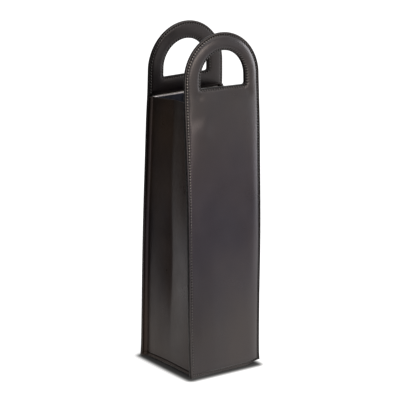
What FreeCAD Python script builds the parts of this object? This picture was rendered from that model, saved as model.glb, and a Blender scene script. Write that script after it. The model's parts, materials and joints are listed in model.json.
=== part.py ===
import FreeCAD, Part
import math
import os
from types import SimpleNamespace

import Sketcher
from FreeCAD import Vector

# Leather carrier for one wine bottle: two padded panels that end in arched handles, two folded
# gussets between them and a raised base. Millimetres, +Z up, front towards -Y, and the origin on
# the floor under the middle of the base.

SIZES = {
    # Overall form
    "panel_width": 100,       # front and back panels, edge to edge
    "base_depth": 98,         # sewn rim to sewn rim at the floor
    "mouth_depth": 72,        # sewn rim to sewn rim at the mouth
    "mouth_height": 313,      # floor to the line where the handles bend
    "panel_bow": 3.3,         # the panels swell outwards this far half way up
    "handle_leg": 27,         # bend line to the springing of the arch
    "sill_height": 16.5,      # bend line to the sill of the hand hole
    "handle_band": 20,        # leather band round the hand hole
    # Materials
    "skin": 1.2,              # outer leather
    "facing": 1.2,            # leather on the inner side of the handles
    "foam": 2.0,              # soft layer under the outer leather
    "board": 1.0,             # stiffener behind the foam
    "lining": 0.6,            # striped cloth
    "gusset_skin": 1.0,       # gusset leather
    "base_skin": 1.2,         # base leather
    "base_board": 2.0,        # stiffener in the base
    # Sewn edges and folds
    "rim": 4.5,               # flat sewn rim round the padded field
    "field_wall": 1.6,        # leather between the foot of the field and its filling
    "field_draft": 20,        # slope of the field's sides, in degrees
    "flange": 4.5,            # the panels' sewn edges stand this far past the gussets
    "gusset_fold": 6,         # the gussets fold inwards this far at the mouth
    "hem": 10,                # turned hem of the lining at the mouth
    "foot": 4,                # the turned-down base edge lifts the base this far
    "sill_corner": 2.5,       # corners of the hand hole
    # Clearances
    "fit": 0.3,               # cut edges of neighbouring pieces
    "seam_gap": 0.05,         # faces that are sewn together
    "bead_gap": 0.1,          # the handle's bead in its groove
    "bend_gap": 2.5,          # bend line to the padded field, above and below
    "facing_gap": 1.5,        # bend line to the handle's facing
    "mouth_gap": 0.7,         # gussets, flanges and linings end this far below the bend line
    "floor_gap": 0.3,         # panels and gussets clear the floor
}
SHEET = "Sizes"


class Size:
    """A length or ratio that knows its number and the sheet expression it follows."""

    def __init__(self, value, text):
        self.value = value
        self.text = text

    def __add__(self, other):
        other = as_size(other)
        return Size(self.value + other.value, f"({self.text} + {other.text})")

    def __sub__(self, other):
        other = as_size(other)
        return Size(self.value - other.value, f"({self.text} - {other.text})")

    def __mul__(self, other):
        other = as_size(other)
        return Size(self.value * other.value, f"({self.text} * {other.text})")

    def __truediv__(self, other):
        other = as_size(other)
        return Size(self.value / other.value, f"({self.text} / {other.text})")

    def __neg__(self):
        return Size(-self.value, f"(-{self.text})")


def as_size(number):
    """A plain number as a Size."""
    return number if isinstance(number, Size) else Size(number, f"({number})")


ZERO = as_size(0)

doc = FreeCAD.newDocument("bottle_carrier")


def fill_sheet():
    """Writes the driving sizes into the sheet and returns them by name."""
    sheet = doc.addObject("Spreadsheet::Sheet", SHEET)
    sizes = SimpleNamespace()
    for row, (name, value) in enumerate(SIZES.items(), start=1):
        sheet.set(f"A{row}", name)
        sheet.set(f"B{row}", str(value))
        sheet.setAlias(f"B{row}", name)
        setattr(sizes, name, Size(value, f"{SHEET}.{name}"))
    doc.recompute()
    return sizes


size = fill_sheet()

# Sizes that follow from the driving ones.
half_width = size.panel_width / 2
filling = size.foam + size.board
inner_face = size.skin / 2
base_line = (size.base_depth - size.skin) / 2
mouth_line = (size.mouth_depth - size.skin) / 2
panel_slope = (base_line - mouth_line) / size.mouth_height
panel_stretch = Size(
    math.hypot(1, panel_slope.value),
    f"hypot(1; {panel_slope.text})",
)
panel_length = size.mouth_height * panel_stretch
web_face = half_width - size.flange
web_inner = web_face - size.gusset_skin
gusset_top = size.mouth_height - size.mouth_gap
base_top = size.foot + size.base_skin


def bow(share):
    """How far a panel stands out from its straight line, at a share of the way up."""
    return size.panel_bow * 4 * share * (as_size(1) - share)


def half_depth(depth, height):
    """Half the distance between the panels, from depth inside their middle plane, at a height."""
    straight = base_line - depth * panel_stretch - height * panel_slope
    return straight + bow(height / size.mouth_height) * panel_stretch


def fold_depth(height):
    """How far the gusset's middle is folded in at a height: nothing at the floor."""
    return size.gusset_fold * height / size.mouth_height


# Helpers for bodies, sketches and features. Panels are drawn upright in their own frame: X across,
# Z up, and depth Y inwards from the middle of the sewn rim's thickness.


def new_body(label, place=None):
    """An empty body with its label and, where given, a placement that follows the sheet."""
    body = doc.addObject("PartDesign::Body", label)
    body.Label = label
    if place:
        body.setExpression("Placement", place)
    return body


def add_sketch(body, name, role, lift, loops):
    """A sketch on one of the body's own planes, lifted along its normal."""
    plane = next(item for item in body.Origin.OriginFeatures if item.Role == role)
    sketch = body.newObject("Sketcher::SketchObject", f"{body.Label}_{name}")
    sketch.AttachmentSupport = [(plane, "")]
    sketch.MapMode = "FlatFace"
    sketch.setExpression("AttachmentOffset.Base.z", lift.text)
    for loop in loops:
        add_loop(sketch, loop)
    return sketch


def add_loop(sketch, loop):
    """A closed loop through corners; a segment listed as round is a half circle or a corner arc."""
    first = sketch.GeometryCount
    count = len(loop.corners)
    points = [Vector(across.value, up.value, 0) for across, up in loop.corners]
    for number in range(count):
        start = points[number]
        end = points[(number + 1) % count]
        if number in loop.round:
            middle = Vector(loop.round[number][0].value, loop.round[number][1].value, 0)
            begin = math.atan2(start.y - middle.y, start.x - middle.x)
            finish = math.atan2(end.y - middle.y, end.x - middle.x)
            circle = Part.Circle(middle, Vector(0, 0, 1), (start - middle).Length)
            sketch.addGeometry(Part.ArcOfCircle(circle, begin, finish))
        else:
            sketch.addGeometry(Part.LineSegment(start, end))
    for number in range(count):
        following = first + (number + 1) % count
        sketch.addConstraint(Sketcher.Constraint("Coincident", first + number, 2, following, 1))
    for number, corner in enumerate(loop.corners):
        hold(sketch, "DistanceX", first + number, 1, corner[0])
        hold(sketch, "DistanceY", first + number, 1, corner[1])
    for number, centre in loop.round.items():
        hold(sketch, "DistanceY", first + number, 3, centre[1])


def hold(sketch, kind, geometry, point, length):
    """Ties one coordinate of a point to a size."""
    constraint = sketch.addConstraint(Sketcher.Constraint(kind, geometry, point, length.value))
    sketch.setExpression(f"Constraints[{constraint}]", length.text)


def polygon(*corners):
    """A loop of straight segments."""
    return SimpleNamespace(corners=corners, round={})


def rectangle(half, low, high):
    """A rectangle that is symmetrical across."""
    return polygon((-half, low), (half, low), (half, high), (-half, high))


def arch(half, low, spring):
    """Two upright legs under a half circle."""
    corners = ((-half, low), (half, low), (half, spring), (-half, spring))
    return SimpleNamespace(corners=corners, round={2: (ZERO, spring)})


def hand_hole(half, sill, spring, corner):
    """The D of the hand hole: a straight sill with rounded corners under a half circle."""
    corners = (
        (corner - half, sill),
        (half - corner, sill),
        (half, sill + corner),
        (half, spring),
        (-half, spring),
        (-half, sill + corner),
    )
    rounds = {
        1: (half - corner, sill + corner),
        3: (ZERO, spring),
        5: (corner - half, sill + corner),
    }
    return SimpleNamespace(corners=corners, round=rounds)


def pad(body, sketch, length, draft=None):
    """Extrudes a sketch along its normal, narrowing by a draft where one is given."""
    feature = body.newObject("PartDesign::Pad", f"{sketch.Label}_pad")
    feature.Profile = sketch
    feature.setExpression("Length", length.text)
    if draft:
        feature.setExpression("TaperAngle", f"-{draft.text}")
    return feature


def pocket(body, sketch, length, along_normal):
    """Cuts a sketch into the body and makes sure that it took material away."""
    doc.recompute()
    before = body.Shape.Volume
    feature = body.newObject("PartDesign::Pocket", f"{sketch.Label}_cut")
    feature.Profile = sketch
    feature.setExpression("Length", length.text)
    feature.Reversed = along_normal
    doc.recompute()
    if body.Shape.Volume >= before:
        raise RuntimeError(f"{feature.Label} cut nothing")
    return feature


def panel_layer(body, name, depth, thickness, loops, draft=None):
    """A flat layer of a panel from a depth, outwards by its thickness."""
    sketch = add_sketch(body, name, "XZ_Plane", -depth, loops)
    return pad(body, sketch, thickness, draft)


def flat_layer(body, name, low, thickness, loops):
    """A level layer from a height, upwards by its thickness."""
    return pad(body, add_sketch(body, name, "XY_Plane", low, loops), thickness)


def panel_place(side):
    """Placement of a panel that leans in from the floor to the mouth; side is front or back."""
    lean = f"rotation(vector(1; 0; 0); -atan({panel_slope.text}))"
    if side == "front":
        return f"placement(vector(0; -{base_line.text}; 0); {lean})"
    turn = "rotation(vector(0; 0; 1); 180)"
    return f"placement(vector(0; {base_line.text}; 0); {turn} * {lean})"


def handle_place(side):
    """Placement of an upright handle on its bend line."""
    height = size.mouth_height.text
    if side == "front":
        return f"placement(vector(0; -{mouth_line.text}; {height}); rotation(vector(0; 0; 1); 0))"
    return f"placement(vector(0; {mouth_line.text}; {height}); rotation(vector(0; 0; 1); 180))"


def gusset_place(side):
    """The left gusset is drawn in place, and the right one is the same turned about Z."""
    angle = 0 if side == "left" else 180
    return f"placement(vector(0; 0; 0); rotation(vector(0; 0; 1); {angle}))"


def loft_through(body, name, section, low, high, cut=False):
    """A smooth loft or, where it cuts, a hollow, through the sections at both ends and half way."""
    levels = {"foot": low, "middle": (low + high) / 2, "top": high}
    sketches = [
        add_sketch(body, f"{name}_{level}", "XY_Plane", lift, [section(lift)])
        for level, lift in levels.items()
    ]
    doc.recompute()
    before = body.Shape.Volume if cut else 0
    kind = "PartDesign::SubtractiveLoft" if cut else "PartDesign::AdditiveLoft"
    feature = body.newObject(kind, f"{body.Label}_{name}")
    feature.Profile = sketches[0]
    feature.Sections = sketches[1:]
    doc.recompute()
    if cut and body.Shape.Volume >= before:
        raise RuntimeError(f"{feature.Label} cut nothing")
    return feature


def bowed_sheet(body, name, depth, thickness, span, taper=ZERO, cut=False):
    """A layer of a panel from a depth, outwards by its thickness, that follows the panel's bow."""

    def section(height):
        inner = depth - bow(height / panel_length)
        outer = inner - thickness
        narrow = span.half - taper
        return polygon((-narrow, outer), (narrow, outer), (span.half, inner), (-span.half, inner))

    return loft_through(body, name, section, span.low, span.high, cut)


def panel_span(inset, top_gap):
    """Extent of a panel's layer drawn in from its edges and from the bend line."""
    low = size.floor_gap + inset
    return SimpleNamespace(half=half_width - inset, low=low, high=panel_length - top_gap)


def handle_field(inset, low):
    """Outline of a handle drawn in from its edges, with the hand hole grown to match."""
    spring = size.handle_leg
    hole_half = half_width - size.handle_band + inset
    hole_sill = size.sill_height - inset
    return [
        arch(half_width - inset, low, spring),
        hand_hole(hole_half, hole_sill, spring, size.sill_corner),
    ]


field_inset = size.rim
filling_inset = size.rim + size.field_wall
loose_inset = filling_inset + size.fit


def bead_loop(radius):
    """Half disc below the bend line: the rounded lower edge of a handle."""
    corners = ((-radius, ZERO), (radius, ZERO))
    return SimpleNamespace(corners=corners, round={0: (ZERO, ZERO)})


def field_end(height, run):
    """What slopes the end of a panel's raised field: a wedge from its foot, outwards past its top."""
    foot = -inner_face - bow(height / panel_length)
    beyond = foot - filling * 2
    return polygon((foot, height), (beyond, height + run * 2), (beyond, height - run))


def panel_skin(side):
    """Outer leather of a panel: sewn rim, raised field, space for the filling, groove on top."""
    body = new_body(f"{side}_panel_leather", panel_place(side))
    bowed_sheet(body, "rim", inner_face, size.skin, panel_span(ZERO, ZERO))
    field = panel_span(field_inset, size.bend_gap)
    slope = Size(math.tan(math.radians(size.field_draft.value)), f"tan({size.field_draft.text})")
    rooted = SimpleNamespace(half=field.half + inner_face * slope, low=field.low, high=field.high)
    bowed_sheet(body, "field", ZERO, inner_face + filling, rooted, (inner_face + filling) * slope)
    ends = [field_end(field.low, filling * slope), field_end(field.high, -filling * slope)]
    pocket(body, add_sketch(body, "ends", "YZ_Plane", -half_width, ends), size.panel_width, True)
    hollow = panel_span(filling_inset, size.bend_gap + size.field_wall)
    bowed_sheet(body, "hollow", size.skin, filling + inner_face, hollow, cut=True)
    radius = inner_face + size.bead_gap
    ends = ((-radius, panel_length), (radius, panel_length))
    groove = SimpleNamespace(corners=ends, round={0: (ZERO, panel_length)})
    sketch = add_sketch(body, "groove", "YZ_Plane", -half_width, [groove])
    pocket(body, sketch, size.panel_width, True)
    return body


def panel_filling(side):
    """Foam and stiffener board inside a panel's raised field."""
    span = panel_span(loose_inset, size.bend_gap + size.field_wall + size.fit)
    board = new_body(f"{side}_panel_board", panel_place(side))
    bowed_sheet(board, "sheet", inner_face, size.board, span)
    foam = new_body(f"{side}_panel_foam", panel_place(side))
    bowed_sheet(foam, "sheet", inner_face - size.board, size.foam - size.seam_gap, span)
    return [board, foam]


def panel_lining(side):
    """Striped cloth on the inside of a panel, with its hem turned over at the mouth."""
    body = new_body(f"{side}_panel_lining", panel_place(side))
    half = web_inner - size.fit
    top = panel_length - size.mouth_gap
    behind = inner_face + size.seam_gap
    cloth = SimpleNamespace(half=half, low=base_top + size.fit, high=top)
    bowed_sheet(body, "cloth", behind + size.lining, size.lining, cloth)
    hem = SimpleNamespace(half=half - size.gusset_fold / 2, low=top - size.hem, high=top)
    bowed_sheet(body, "hem", behind + size.lining * 2, size.lining * 1.5, hem)
    return body


def handle_skin(side):
    """Outer leather of a handle: sewn rims, raised ring, space for the filling, rounded foot."""
    body = new_body(f"{side}_handle_leather", handle_place(side))
    panel_layer(body, "rim", inner_face, size.skin, handle_field(ZERO, ZERO))
    ring = handle_field(field_inset, size.bend_gap)
    panel_layer(body, "ring", -inner_face, filling, ring, size.field_draft)
    hollow = handle_field(filling_inset, size.bend_gap + size.field_wall)
    pocket(body, add_sketch(body, "hollow", "XZ_Plane", -inner_face, hollow), filling, True)
    sketch = add_sketch(body, "bead", "YZ_Plane", -half_width, [bead_loop(inner_face)])
    pad(body, sketch, size.panel_width)
    return body


def handle_filling(side):
    """Foam and stiffener board inside a handle's raised ring."""
    outline = handle_field(loose_inset, size.bend_gap + size.field_wall + size.fit)
    board = new_body(f"{side}_handle_board", handle_place(side))
    panel_layer(board, "ring", inner_face, size.board, outline)
    foam = new_body(f"{side}_handle_foam", handle_place(side))
    panel_layer(foam, "ring", inner_face - size.board, size.foam, outline)
    return [board, foam]


def handle_facing(side):
    """Flat leather on the inner side of a handle."""
    body = new_body(f"{side}_handle_facing", handle_place(side))
    sheet = handle_field(ZERO, size.facing_gap)
    panel_layer(body, "sheet", inner_face + size.facing, size.facing, sheet)
    return body


def gusset_section(height):
    """Gusset leather at a height: turned-out flanges on the panels and a web folded inwards."""
    tip = -half_width
    fold = fold_depth(height)
    seat = half_depth(inner_face, height) - size.seam_gap
    back = seat - size.gusset_skin * panel_stretch
    return polygon(
        (tip, -seat),
        (-web_inner, -seat),
        (fold - web_inner, ZERO),
        (-web_inner, seat),
        (tip, seat),
        (tip, back),
        (-web_face, back),
        (fold - web_face, ZERO),
        (-web_face, -back),
        (tip, -back),
    )


def gusset_lining_section(height):
    """Gusset lining at a height, just inside the web and between the panel linings."""
    fold = fold_depth(height)
    edge = half_depth(inner_face + size.lining * 2, height) - size.fit
    outer = size.fit - web_inner
    inner = outer + size.lining
    return polygon(
        (outer, -edge),
        (inner, -edge),
        (fold + inner, ZERO),
        (inner, edge),
        (outer, edge),
        (fold + outer, ZERO),
    )


def gusset(side):
    """Leather and lining of one gusset."""
    leather = new_body(f"{side}_gusset_leather", gusset_place(side))
    loft_through(leather, "fold", gusset_section, size.floor_gap, gusset_top)
    lining = new_body(f"{side}_gusset_lining", gusset_place(side))
    loft_through(lining, "fold", gusset_lining_section, base_top + size.fit, gusset_top)
    return [leather, lining]


def base():
    """Base leather with its edge turned down to stand on, a stiffener board and a lining."""
    leather = new_body("base_leather")
    half_x = web_inner - size.fit
    half_y = half_depth(inner_face, base_top) - size.fit
    flat_layer(leather, "tray", ZERO, base_top, [rectangle(half_x, -half_y, half_y)])
    inside_y = half_y - size.base_skin
    inside = [rectangle(half_x - size.base_skin, -inside_y, inside_y)]
    pocket(leather, add_sketch(leather, "underside", "XY_Plane", ZERO, inside), size.foot, True)

    board_top = base_top + size.base_board
    lining_top = board_top + size.lining
    floor_x = web_inner - size.lining - size.fit * 2 - fold_depth(lining_top)
    floor_y = half_depth(inner_face + size.lining, lining_top) - size.fit
    floor = [rectangle(floor_x, -floor_y, floor_y)]
    board = new_body("base_board")
    flat_layer(board, "sheet", base_top, size.base_board, floor)
    lining = new_body("base_lining")
    flat_layer(lining, "cloth", board_top, size.lining, floor)
    return [leather, board, lining]


def build():
    """All the pieces of the carrier."""
    pieces = base()
    for side in ("left", "right"):
        pieces += gusset(side)
    for side in ("front", "back"):
        pieces += [panel_skin(side), panel_lining(side), *panel_filling(side)]
        pieces += [handle_skin(side), handle_facing(side), *handle_filling(side)]
    return pieces


def check(pieces):
    """Stops if anything in the document failed or a piece is not one sound solid."""
    for item in doc.Objects:
        if {"Invalid", "Error"} & set(item.State):
            raise RuntimeError(f"{item.Label} failed: {item.State}")
    for piece in pieces:
        shape = piece.Shape
        if shape.isNull() or not shape.isValid() or len(shape.Solids) != 1:
            raise RuntimeError(f"{piece.Label} is not one sound solid")


def write(pieces):
    """Writes each piece under its own name."""
    os.makedirs("parts", exist_ok=True)
    for piece in pieces:
        piece.Shape.exportStep(f"parts/{piece.Label}.step")
        print(f"{piece.Label}: {piece.Shape.Volume:.0f} mm3")


carrier = build()
doc.recompute()
check(carrier)
write(carrier)
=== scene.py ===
"""Dresses the bottle carrier: padded leather panels with arched handles, gussets, lining and seams."""
import functools
import json
import logging
import math
from dataclasses import dataclass, field, replace
from enum import Enum
from typing import Optional, Sequence

import bpy
import numpy as np
from mathutils import Matrix, Vector
from mathutils.geometry import delaunay_2d_cdt


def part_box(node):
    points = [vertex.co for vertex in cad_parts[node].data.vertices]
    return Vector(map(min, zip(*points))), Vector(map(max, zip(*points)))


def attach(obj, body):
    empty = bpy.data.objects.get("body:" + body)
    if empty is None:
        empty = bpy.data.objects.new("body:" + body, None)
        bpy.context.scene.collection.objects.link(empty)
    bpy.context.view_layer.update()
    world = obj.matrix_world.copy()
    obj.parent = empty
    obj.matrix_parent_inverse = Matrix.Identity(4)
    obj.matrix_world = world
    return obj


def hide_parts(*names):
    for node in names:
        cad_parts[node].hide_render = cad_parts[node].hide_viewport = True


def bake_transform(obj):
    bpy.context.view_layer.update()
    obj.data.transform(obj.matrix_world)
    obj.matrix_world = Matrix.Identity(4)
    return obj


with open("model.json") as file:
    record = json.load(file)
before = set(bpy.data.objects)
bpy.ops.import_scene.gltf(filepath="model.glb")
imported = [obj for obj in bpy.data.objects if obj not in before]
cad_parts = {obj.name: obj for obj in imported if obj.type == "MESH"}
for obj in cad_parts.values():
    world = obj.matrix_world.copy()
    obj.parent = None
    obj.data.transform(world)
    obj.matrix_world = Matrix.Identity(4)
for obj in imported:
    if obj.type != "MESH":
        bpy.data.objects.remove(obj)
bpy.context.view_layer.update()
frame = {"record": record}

LOG = logging.getLogger("bottle_carrier")
MM = 0.001
WHITE = (1.0, 1.0, 1.0, 1.0)
Points = np.ndarray
Pair = tuple[float, float]
Colour = tuple[float, float, float]
Place = tuple[float, float, float]
Material = bpy.types.Material
Piece = bpy.types.Object
Socket = bpy.types.NodeSocket


class Sign(Enum):
    """A choice between two sides; the value is the sign of the side's place along its axis."""

    @property
    def word(self) -> str:
        """The word that starts the names of this side's pieces."""
        return self.name.lower()


class Side(Sign):
    """Which of the two panels, along Y."""

    FRONT = -1
    BACK = 1


class Hand(Sign):
    """Which of the two gussets, along X."""

    LEFT = -1
    RIGHT = 1


class Slot(Enum):
    """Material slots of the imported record."""

    LEATHER = "leather"
    GUSSET_LEATHER = "gusset_leather"
    LINING = "lining"
    BOARD = "board"
    FOAM = "foam"
    THREAD = "thread"


# Finishes


def shade(colour: Colour, share: float) -> Colour:
    """Makes a colour darker or lighter by a share."""
    return tuple(share * part for part in colour)


class Wiring:
    """Adds nodes to a node tree; most methods return the output that the next node takes in."""

    mix_share, mix_first, mix_second, mix_result = 0, 6, 7, 2

    def __init__(self, tree: bpy.types.NodeTree) -> None:
        """Takes a node tree and empties it.

        Args:
            tree: Tree of a material, a world or a modifier.
        """
        self.tree = tree
        self.tree.nodes.clear()

    def add(self, kind: str, inputs: Optional[dict] = None, **values: object) -> bpy.types.Node:
        """Adds a node, sets its properties and feeds its inputs.

        Args:
            kind: Blender's node type.
            inputs: Constants or other nodes' outputs, by the input's name or number.
            values: Properties of the node by name.

        Returns:
            The new node.
        """
        node = self.tree.nodes.new(kind)
        for name, value in values.items():
            setattr(node, name, value)
        for name, value in (inputs or {}).items():
            self.feed(node.inputs[name], value)
        return node

    def feed(self, socket: Socket, value: object) -> None:
        """Gives an input its value.

        Args:
            socket: The input.
            value: A constant, or another node's output.
        """
        if isinstance(value, Socket):
            self.tree.links.new(value, socket)
        else:
            socket.default_value = value

    def out(self, kind: str, output: str | int, inputs: Optional[dict] = None, **values: object) -> Socket:
        """Adds a node as add does, and returns one of its outputs."""
        return self.add(kind, inputs, **values).outputs[output]

    def math(self, operation: str, *values: object) -> Socket:
        """Works out a number from numbers."""
        return self.out("ShaderNodeMath", "Value", dict(enumerate(values)), operation=operation)

    def vector(self, operation: str, *values: object) -> Socket:
        """Works out a vector from vectors."""
        return self.out("ShaderNodeVectorMath", "Vector", dict(enumerate(values)), operation=operation)

    def length(self, vector: Socket) -> Socket:
        """Length of a vector."""
        return self.out("ShaderNodeVectorMath", "Value", {0: vector}, operation="LENGTH")

    def part(self, vector: Socket, axis: str) -> Socket:
        """One coordinate of a vector."""
        return self.out("ShaderNodeSeparateXYZ", axis, {"Vector": vector})

    def place(self) -> Socket:
        """Place of a point in the piece's own coordinates."""
        return self.out("ShaderNodeTexCoord", "Object")

    def attribute(self, name: str) -> Socket:
        """One of the piece's own attributes."""
        return self.out("ShaderNodeAttribute", "Fac", attribute_name=name, attribute_type="GEOMETRY")

    def noise(self, waves: float, detail: float = 3.0, stretch: Sequence[float] = (1, 1, 1)) -> Socket:
        """Adds a noise texture on Object coordinates.

        Args:
            waves: Waves per metre.
            detail: Octaves of finer noise.
            stretch: Scale of each axis before the noise.

        Returns:
            The noise, which runs around 0.5.
        """
        place = self.out("ShaderNodeMapping", "Vector", {"Vector": self.place(), "Scale": stretch})
        return self.out("ShaderNodeTexNoise", "Fac", {"Vector": place, "Scale": waves, "Detail": detail})

    def bands(self, place: Socket, width: float, direction: str, distortion: float = 0.0) -> Socket:
        """Adds even bands, as threads lie side by side.

        Args:
            place: Coordinates that the bands follow.
            width: Width of a band, in metres.
            direction: Blender's name of the direction across the bands.
            distortion: How uneven the bands are.

        Returns:
            Height of the bands from 0 to 1.
        """
        inputs = {"Vector": place, "Scale": math.tau / (20.0 * width), "Distortion": distortion}
        return self.out("ShaderNodeTexWave", "Fac", inputs, wave_type="BANDS", bands_direction=direction)

    def span(self, value: Socket, result: Pair, reach: Pair = (0.3, 0.7), soft: bool = False) -> Socket:
        """Maps a number from one range to another.

        Args:
            value: The number.
            result: What the ends of the range become.
            reach: Range that is read.
            soft: Whether the ends are rounded off.

        Returns:
            The mapped number.
        """
        inputs = {"Value": value, "From Min": reach[0], "From Max": reach[1]}
        inputs |= {"To Min": result[0], "To Max": result[1]}
        kind = "SMOOTHSTEP" if soft else "LINEAR"
        return self.out("ShaderNodeMapRange", "Result", inputs, interpolation_type=kind)

    def blend(self, share: Socket, first: Colour | Socket, second: Colour | Socket) -> Socket:
        """Mixes two colours.

        Args:
            share: Share of the second colour.
            first: Plain colour, or another node's output.
            second: Plain colour, or another node's output.

        Returns:
            The mixed colour.
        """
        first, second = ((*each, 1.0) if isinstance(each, tuple) else each for each in (first, second))
        inputs = {self.mix_share: share, self.mix_first: first, self.mix_second: second}
        return self.out("ShaderNodeMix", self.mix_result, inputs, data_type="RGBA")


class Surface(Wiring):
    """A new material with one shader."""

    def __init__(self, name: str) -> None:
        """Makes the material.

        Args:
            name: Name of the material.
        """
        self.material = bpy.data.materials.new(name)
        self.material.use_nodes = True
        super().__init__(self.material.node_tree)
        self.shader = self.add("ShaderNodeBsdfPrincipled")
        self.add("ShaderNodeOutputMaterial", {"Surface": self.shader.outputs["BSDF"]})
        self.under: Optional[Socket] = None

    def give(self, **values: object) -> None:
        """Feeds the shader's inputs, which are named with underscores for spaces."""
        for name, value in values.items():
            self.feed(self.shader.inputs[name.replace("_", " ")], value)

    def bump(self, height: Socket, depth: float) -> None:
        """Lays a bump of a real depth over those laid before.

        Args:
            height: Height from 0 to 1.
            depth: Height of 1, in metres.
        """
        inputs = {"Distance": depth, "Height": height}
        if self.under is not None:
            inputs["Normal"] = self.under
        self.under = self.out("ShaderNodeBump", "Normal", inputs)
        self.give(Normal=self.under)


@dataclass(frozen=True)
class LeatherFinish:
    """Smooth dyed leather with a fine grain, darker for seams, paint and painted shade.

    Its rims are paler, partly from wear and partly a painted highlight. The fields that end in waves are
    waves per metre.
    """

    name: str
    deep: Colour = (0.007, 0.0055, 0.0075)
    worn: Colour = (0.019, 0.014, 0.0125)
    rim: Colour = (0.036, 0.03, 0.027)
    seam: Colour = (0.0025, 0.002, 0.002)
    sheen: Colour = (1.0, 0.93, 0.93)
    cool_sheen: Colour = (0.88, 0.79, 0.93)
    cool_rise: Pair = (50 * MM, 150 * MM)
    cool_fall: Pair = (230 * MM, 310 * MM)
    gloss: Pair = (0.27, 0.36)
    gleam: float = 0.5
    seam_gleam: float = 0.02
    grain: float = 0.022 * MM
    pores: float = 0.02 * MM
    creases: float = 0.1 * MM
    patch_waves: float = 13.0
    gloss_waves: float = 48.0
    crease_waves: float = 85.0
    uneven_waves: float = 260.0
    grain_waves: float = 1250.0
    pore_waves: float = 2600.0

    def build(self) -> Material:
        """Builds the leather's nodes.

        Returns:
            The material.
        """
        surface = Surface(self.name)
        patches = surface.noise(self.patch_waves, 4.0, (1.0, 1.0, 0.6))
        tone = surface.blend(surface.span(patches, (0.0, 1.0), (0.36, 0.64)), self.deep, self.worn)
        # Rim attribute: rims painted paler, partly wear and partly a painted highlight
        uneven = surface.span(surface.noise(self.uneven_waves, 2.0), (0.25, 1.0))
        highlight_and_wear = surface.math("MULTIPLY", surface.attribute("rim"), uneven)
        # Seam attribute: the dark, barely glossy seam colour paints seam lines, edge paint and painted shade
        sewn = surface.attribute("seam")
        place = surface.place()
        height = surface.part(place, "Z")
        # Painted reflection colour: the reflection's tint turns cooler in a band of heights
        cool = surface.math("MULTIPLY", surface.span(height, (0.0, 1.0), self.cool_rise),
                            surface.span(height, (1.0, 0.0), self.cool_fall))
        surface.give(
            Base_Color=surface.blend(sewn, surface.blend(highlight_and_wear, tone, self.rim), self.seam),
            Roughness=surface.span(surface.noise(self.gloss_waves, 5.0), self.gloss),
            Specular_IOR_Level=surface.span(sewn, (self.gleam, self.seam_gleam), (0.0, 1.0)),
            Specular_Tint=surface.blend(cool, self.sheen, self.cool_sheen),
        )
        surface.bump(surface.noise(self.crease_waves, 3.0, (1.0, 1.0, 0.45)), self.creases)
        inputs = {"Vector": place, "Scale": self.grain_waves}
        pebbles = surface.out("ShaderNodeTexVoronoi", "Distance", inputs, feature="SMOOTH_F1")
        surface.bump(pebbles, self.grain)
        surface.bump(surface.noise(self.pore_waves, 2.0), self.pores)
        return surface.material


@dataclass(frozen=True)
class ClothFinish:
    """Woven cloth with faint broad stripes and a pale hem; its UV map is in metres from the hem down."""

    name: str
    dark: Colour = (0.007, 0.008, 0.016)
    light: Colour = (0.018, 0.02, 0.038)
    pale: Colour = (0.86, 0.8, 0.8)
    stripe: float = 24 * MM
    stripe_edge: Pair = (0.225, 0.245)
    hem: float = 1.5 * MM
    hem_edge: float = 0.3 * MM
    yarn: float = 0.55 * MM
    weave: float = 0.09 * MM
    slub_waves: float = 900.0
    worn_waves: float = 70.0

    def build(self) -> Material:
        """Builds the cloth's nodes.

        Returns:
            The material.
        """
        surface = Surface(self.name)
        place = surface.out("ShaderNodeUVMap", "UV")
        count = surface.math("DIVIDE", surface.part(place, "X"), self.stripe)
        stripes = surface.math("PINGPONG", count, 0.5)
        edge = surface.span(stripes, (0.0, 1.0), self.stripe_edge)
        slubs = surface.span(surface.noise(self.slub_waves, 3.0, (1.0, 1.0, 0.12)), (0.0, 1.0))
        dark = surface.blend(slubs, self.dark, shade(self.dark, 1.7))
        light = surface.blend(slubs, self.light, shade(self.light, 0.8))
        worn = surface.span(surface.noise(self.worn_waves, 2.0), (0.0, 1.0), (0.42, 0.58))
        pale = surface.blend(worn, shade(self.pale, 0.6), self.pale)
        from_hem = surface.math("ABSOLUTE", surface.part(place, "Y"))
        hem = surface.span(from_hem, (1.0, 0.0), (self.hem, self.hem + self.hem_edge))
        surface.give(Base_Color=surface.blend(hem, surface.blend(edge, dark, light), pale),
                     Roughness=0.85, Specular_IOR_Level=0.25, Sheen_Weight=0.15)
        for direction in ("X", "Y"):
            surface.bump(surface.bands(place, self.yarn, direction, 0.6), self.weave)
        return surface.material


@dataclass(frozen=True)
class ThreadFinish:
    """Waxed thread whose twist shows as fine slanted ribs, painted paler where a painted highlight falls."""

    name: str
    dark: Colour = (0.02, 0.018, 0.018)
    pale: Colour = (0.42, 0.375, 0.34)
    ply: float = 0.5 * MM
    rib: float = 0.05 * MM
    uneven_waves: float = 400.0

    def build(self) -> Material:
        """Builds the thread's nodes.

        Returns:
            The material.
        """
        surface = Surface(self.name)
        # Painted highlight: the brighter attribute paints the thread paler
        uneven = surface.span(surface.noise(self.uneven_waves, 2.0), (0.55, 1.0))
        highlight_and_wear = surface.math("MULTIPLY", surface.attribute("worn"), uneven)
        surface.give(Base_Color=surface.blend(highlight_and_wear, self.dark, self.pale), Roughness=0.42)
        surface.bump(surface.bands(surface.place(), self.ply, "DIAGONAL"), self.rib)
        return surface.material


@dataclass(frozen=True)
class FibreFinish:
    """Pressed fibres, for the stiffener boards and the padding felt."""

    name: str
    first: Colour
    second: Colour
    fibre: float
    depth: float

    def build(self) -> Material:
        """Builds the fibre nodes.

        Returns:
            The material.
        """
        surface = Surface(self.name)
        fibres = surface.noise(1.0 / self.fibre, 5.0)
        tone = surface.blend(surface.span(fibres, (0.0, 1.0)), self.first, self.second)
        surface.give(Base_Color=tone, Roughness=0.9)
        surface.bump(fibres, self.depth)
        return surface.material


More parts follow.
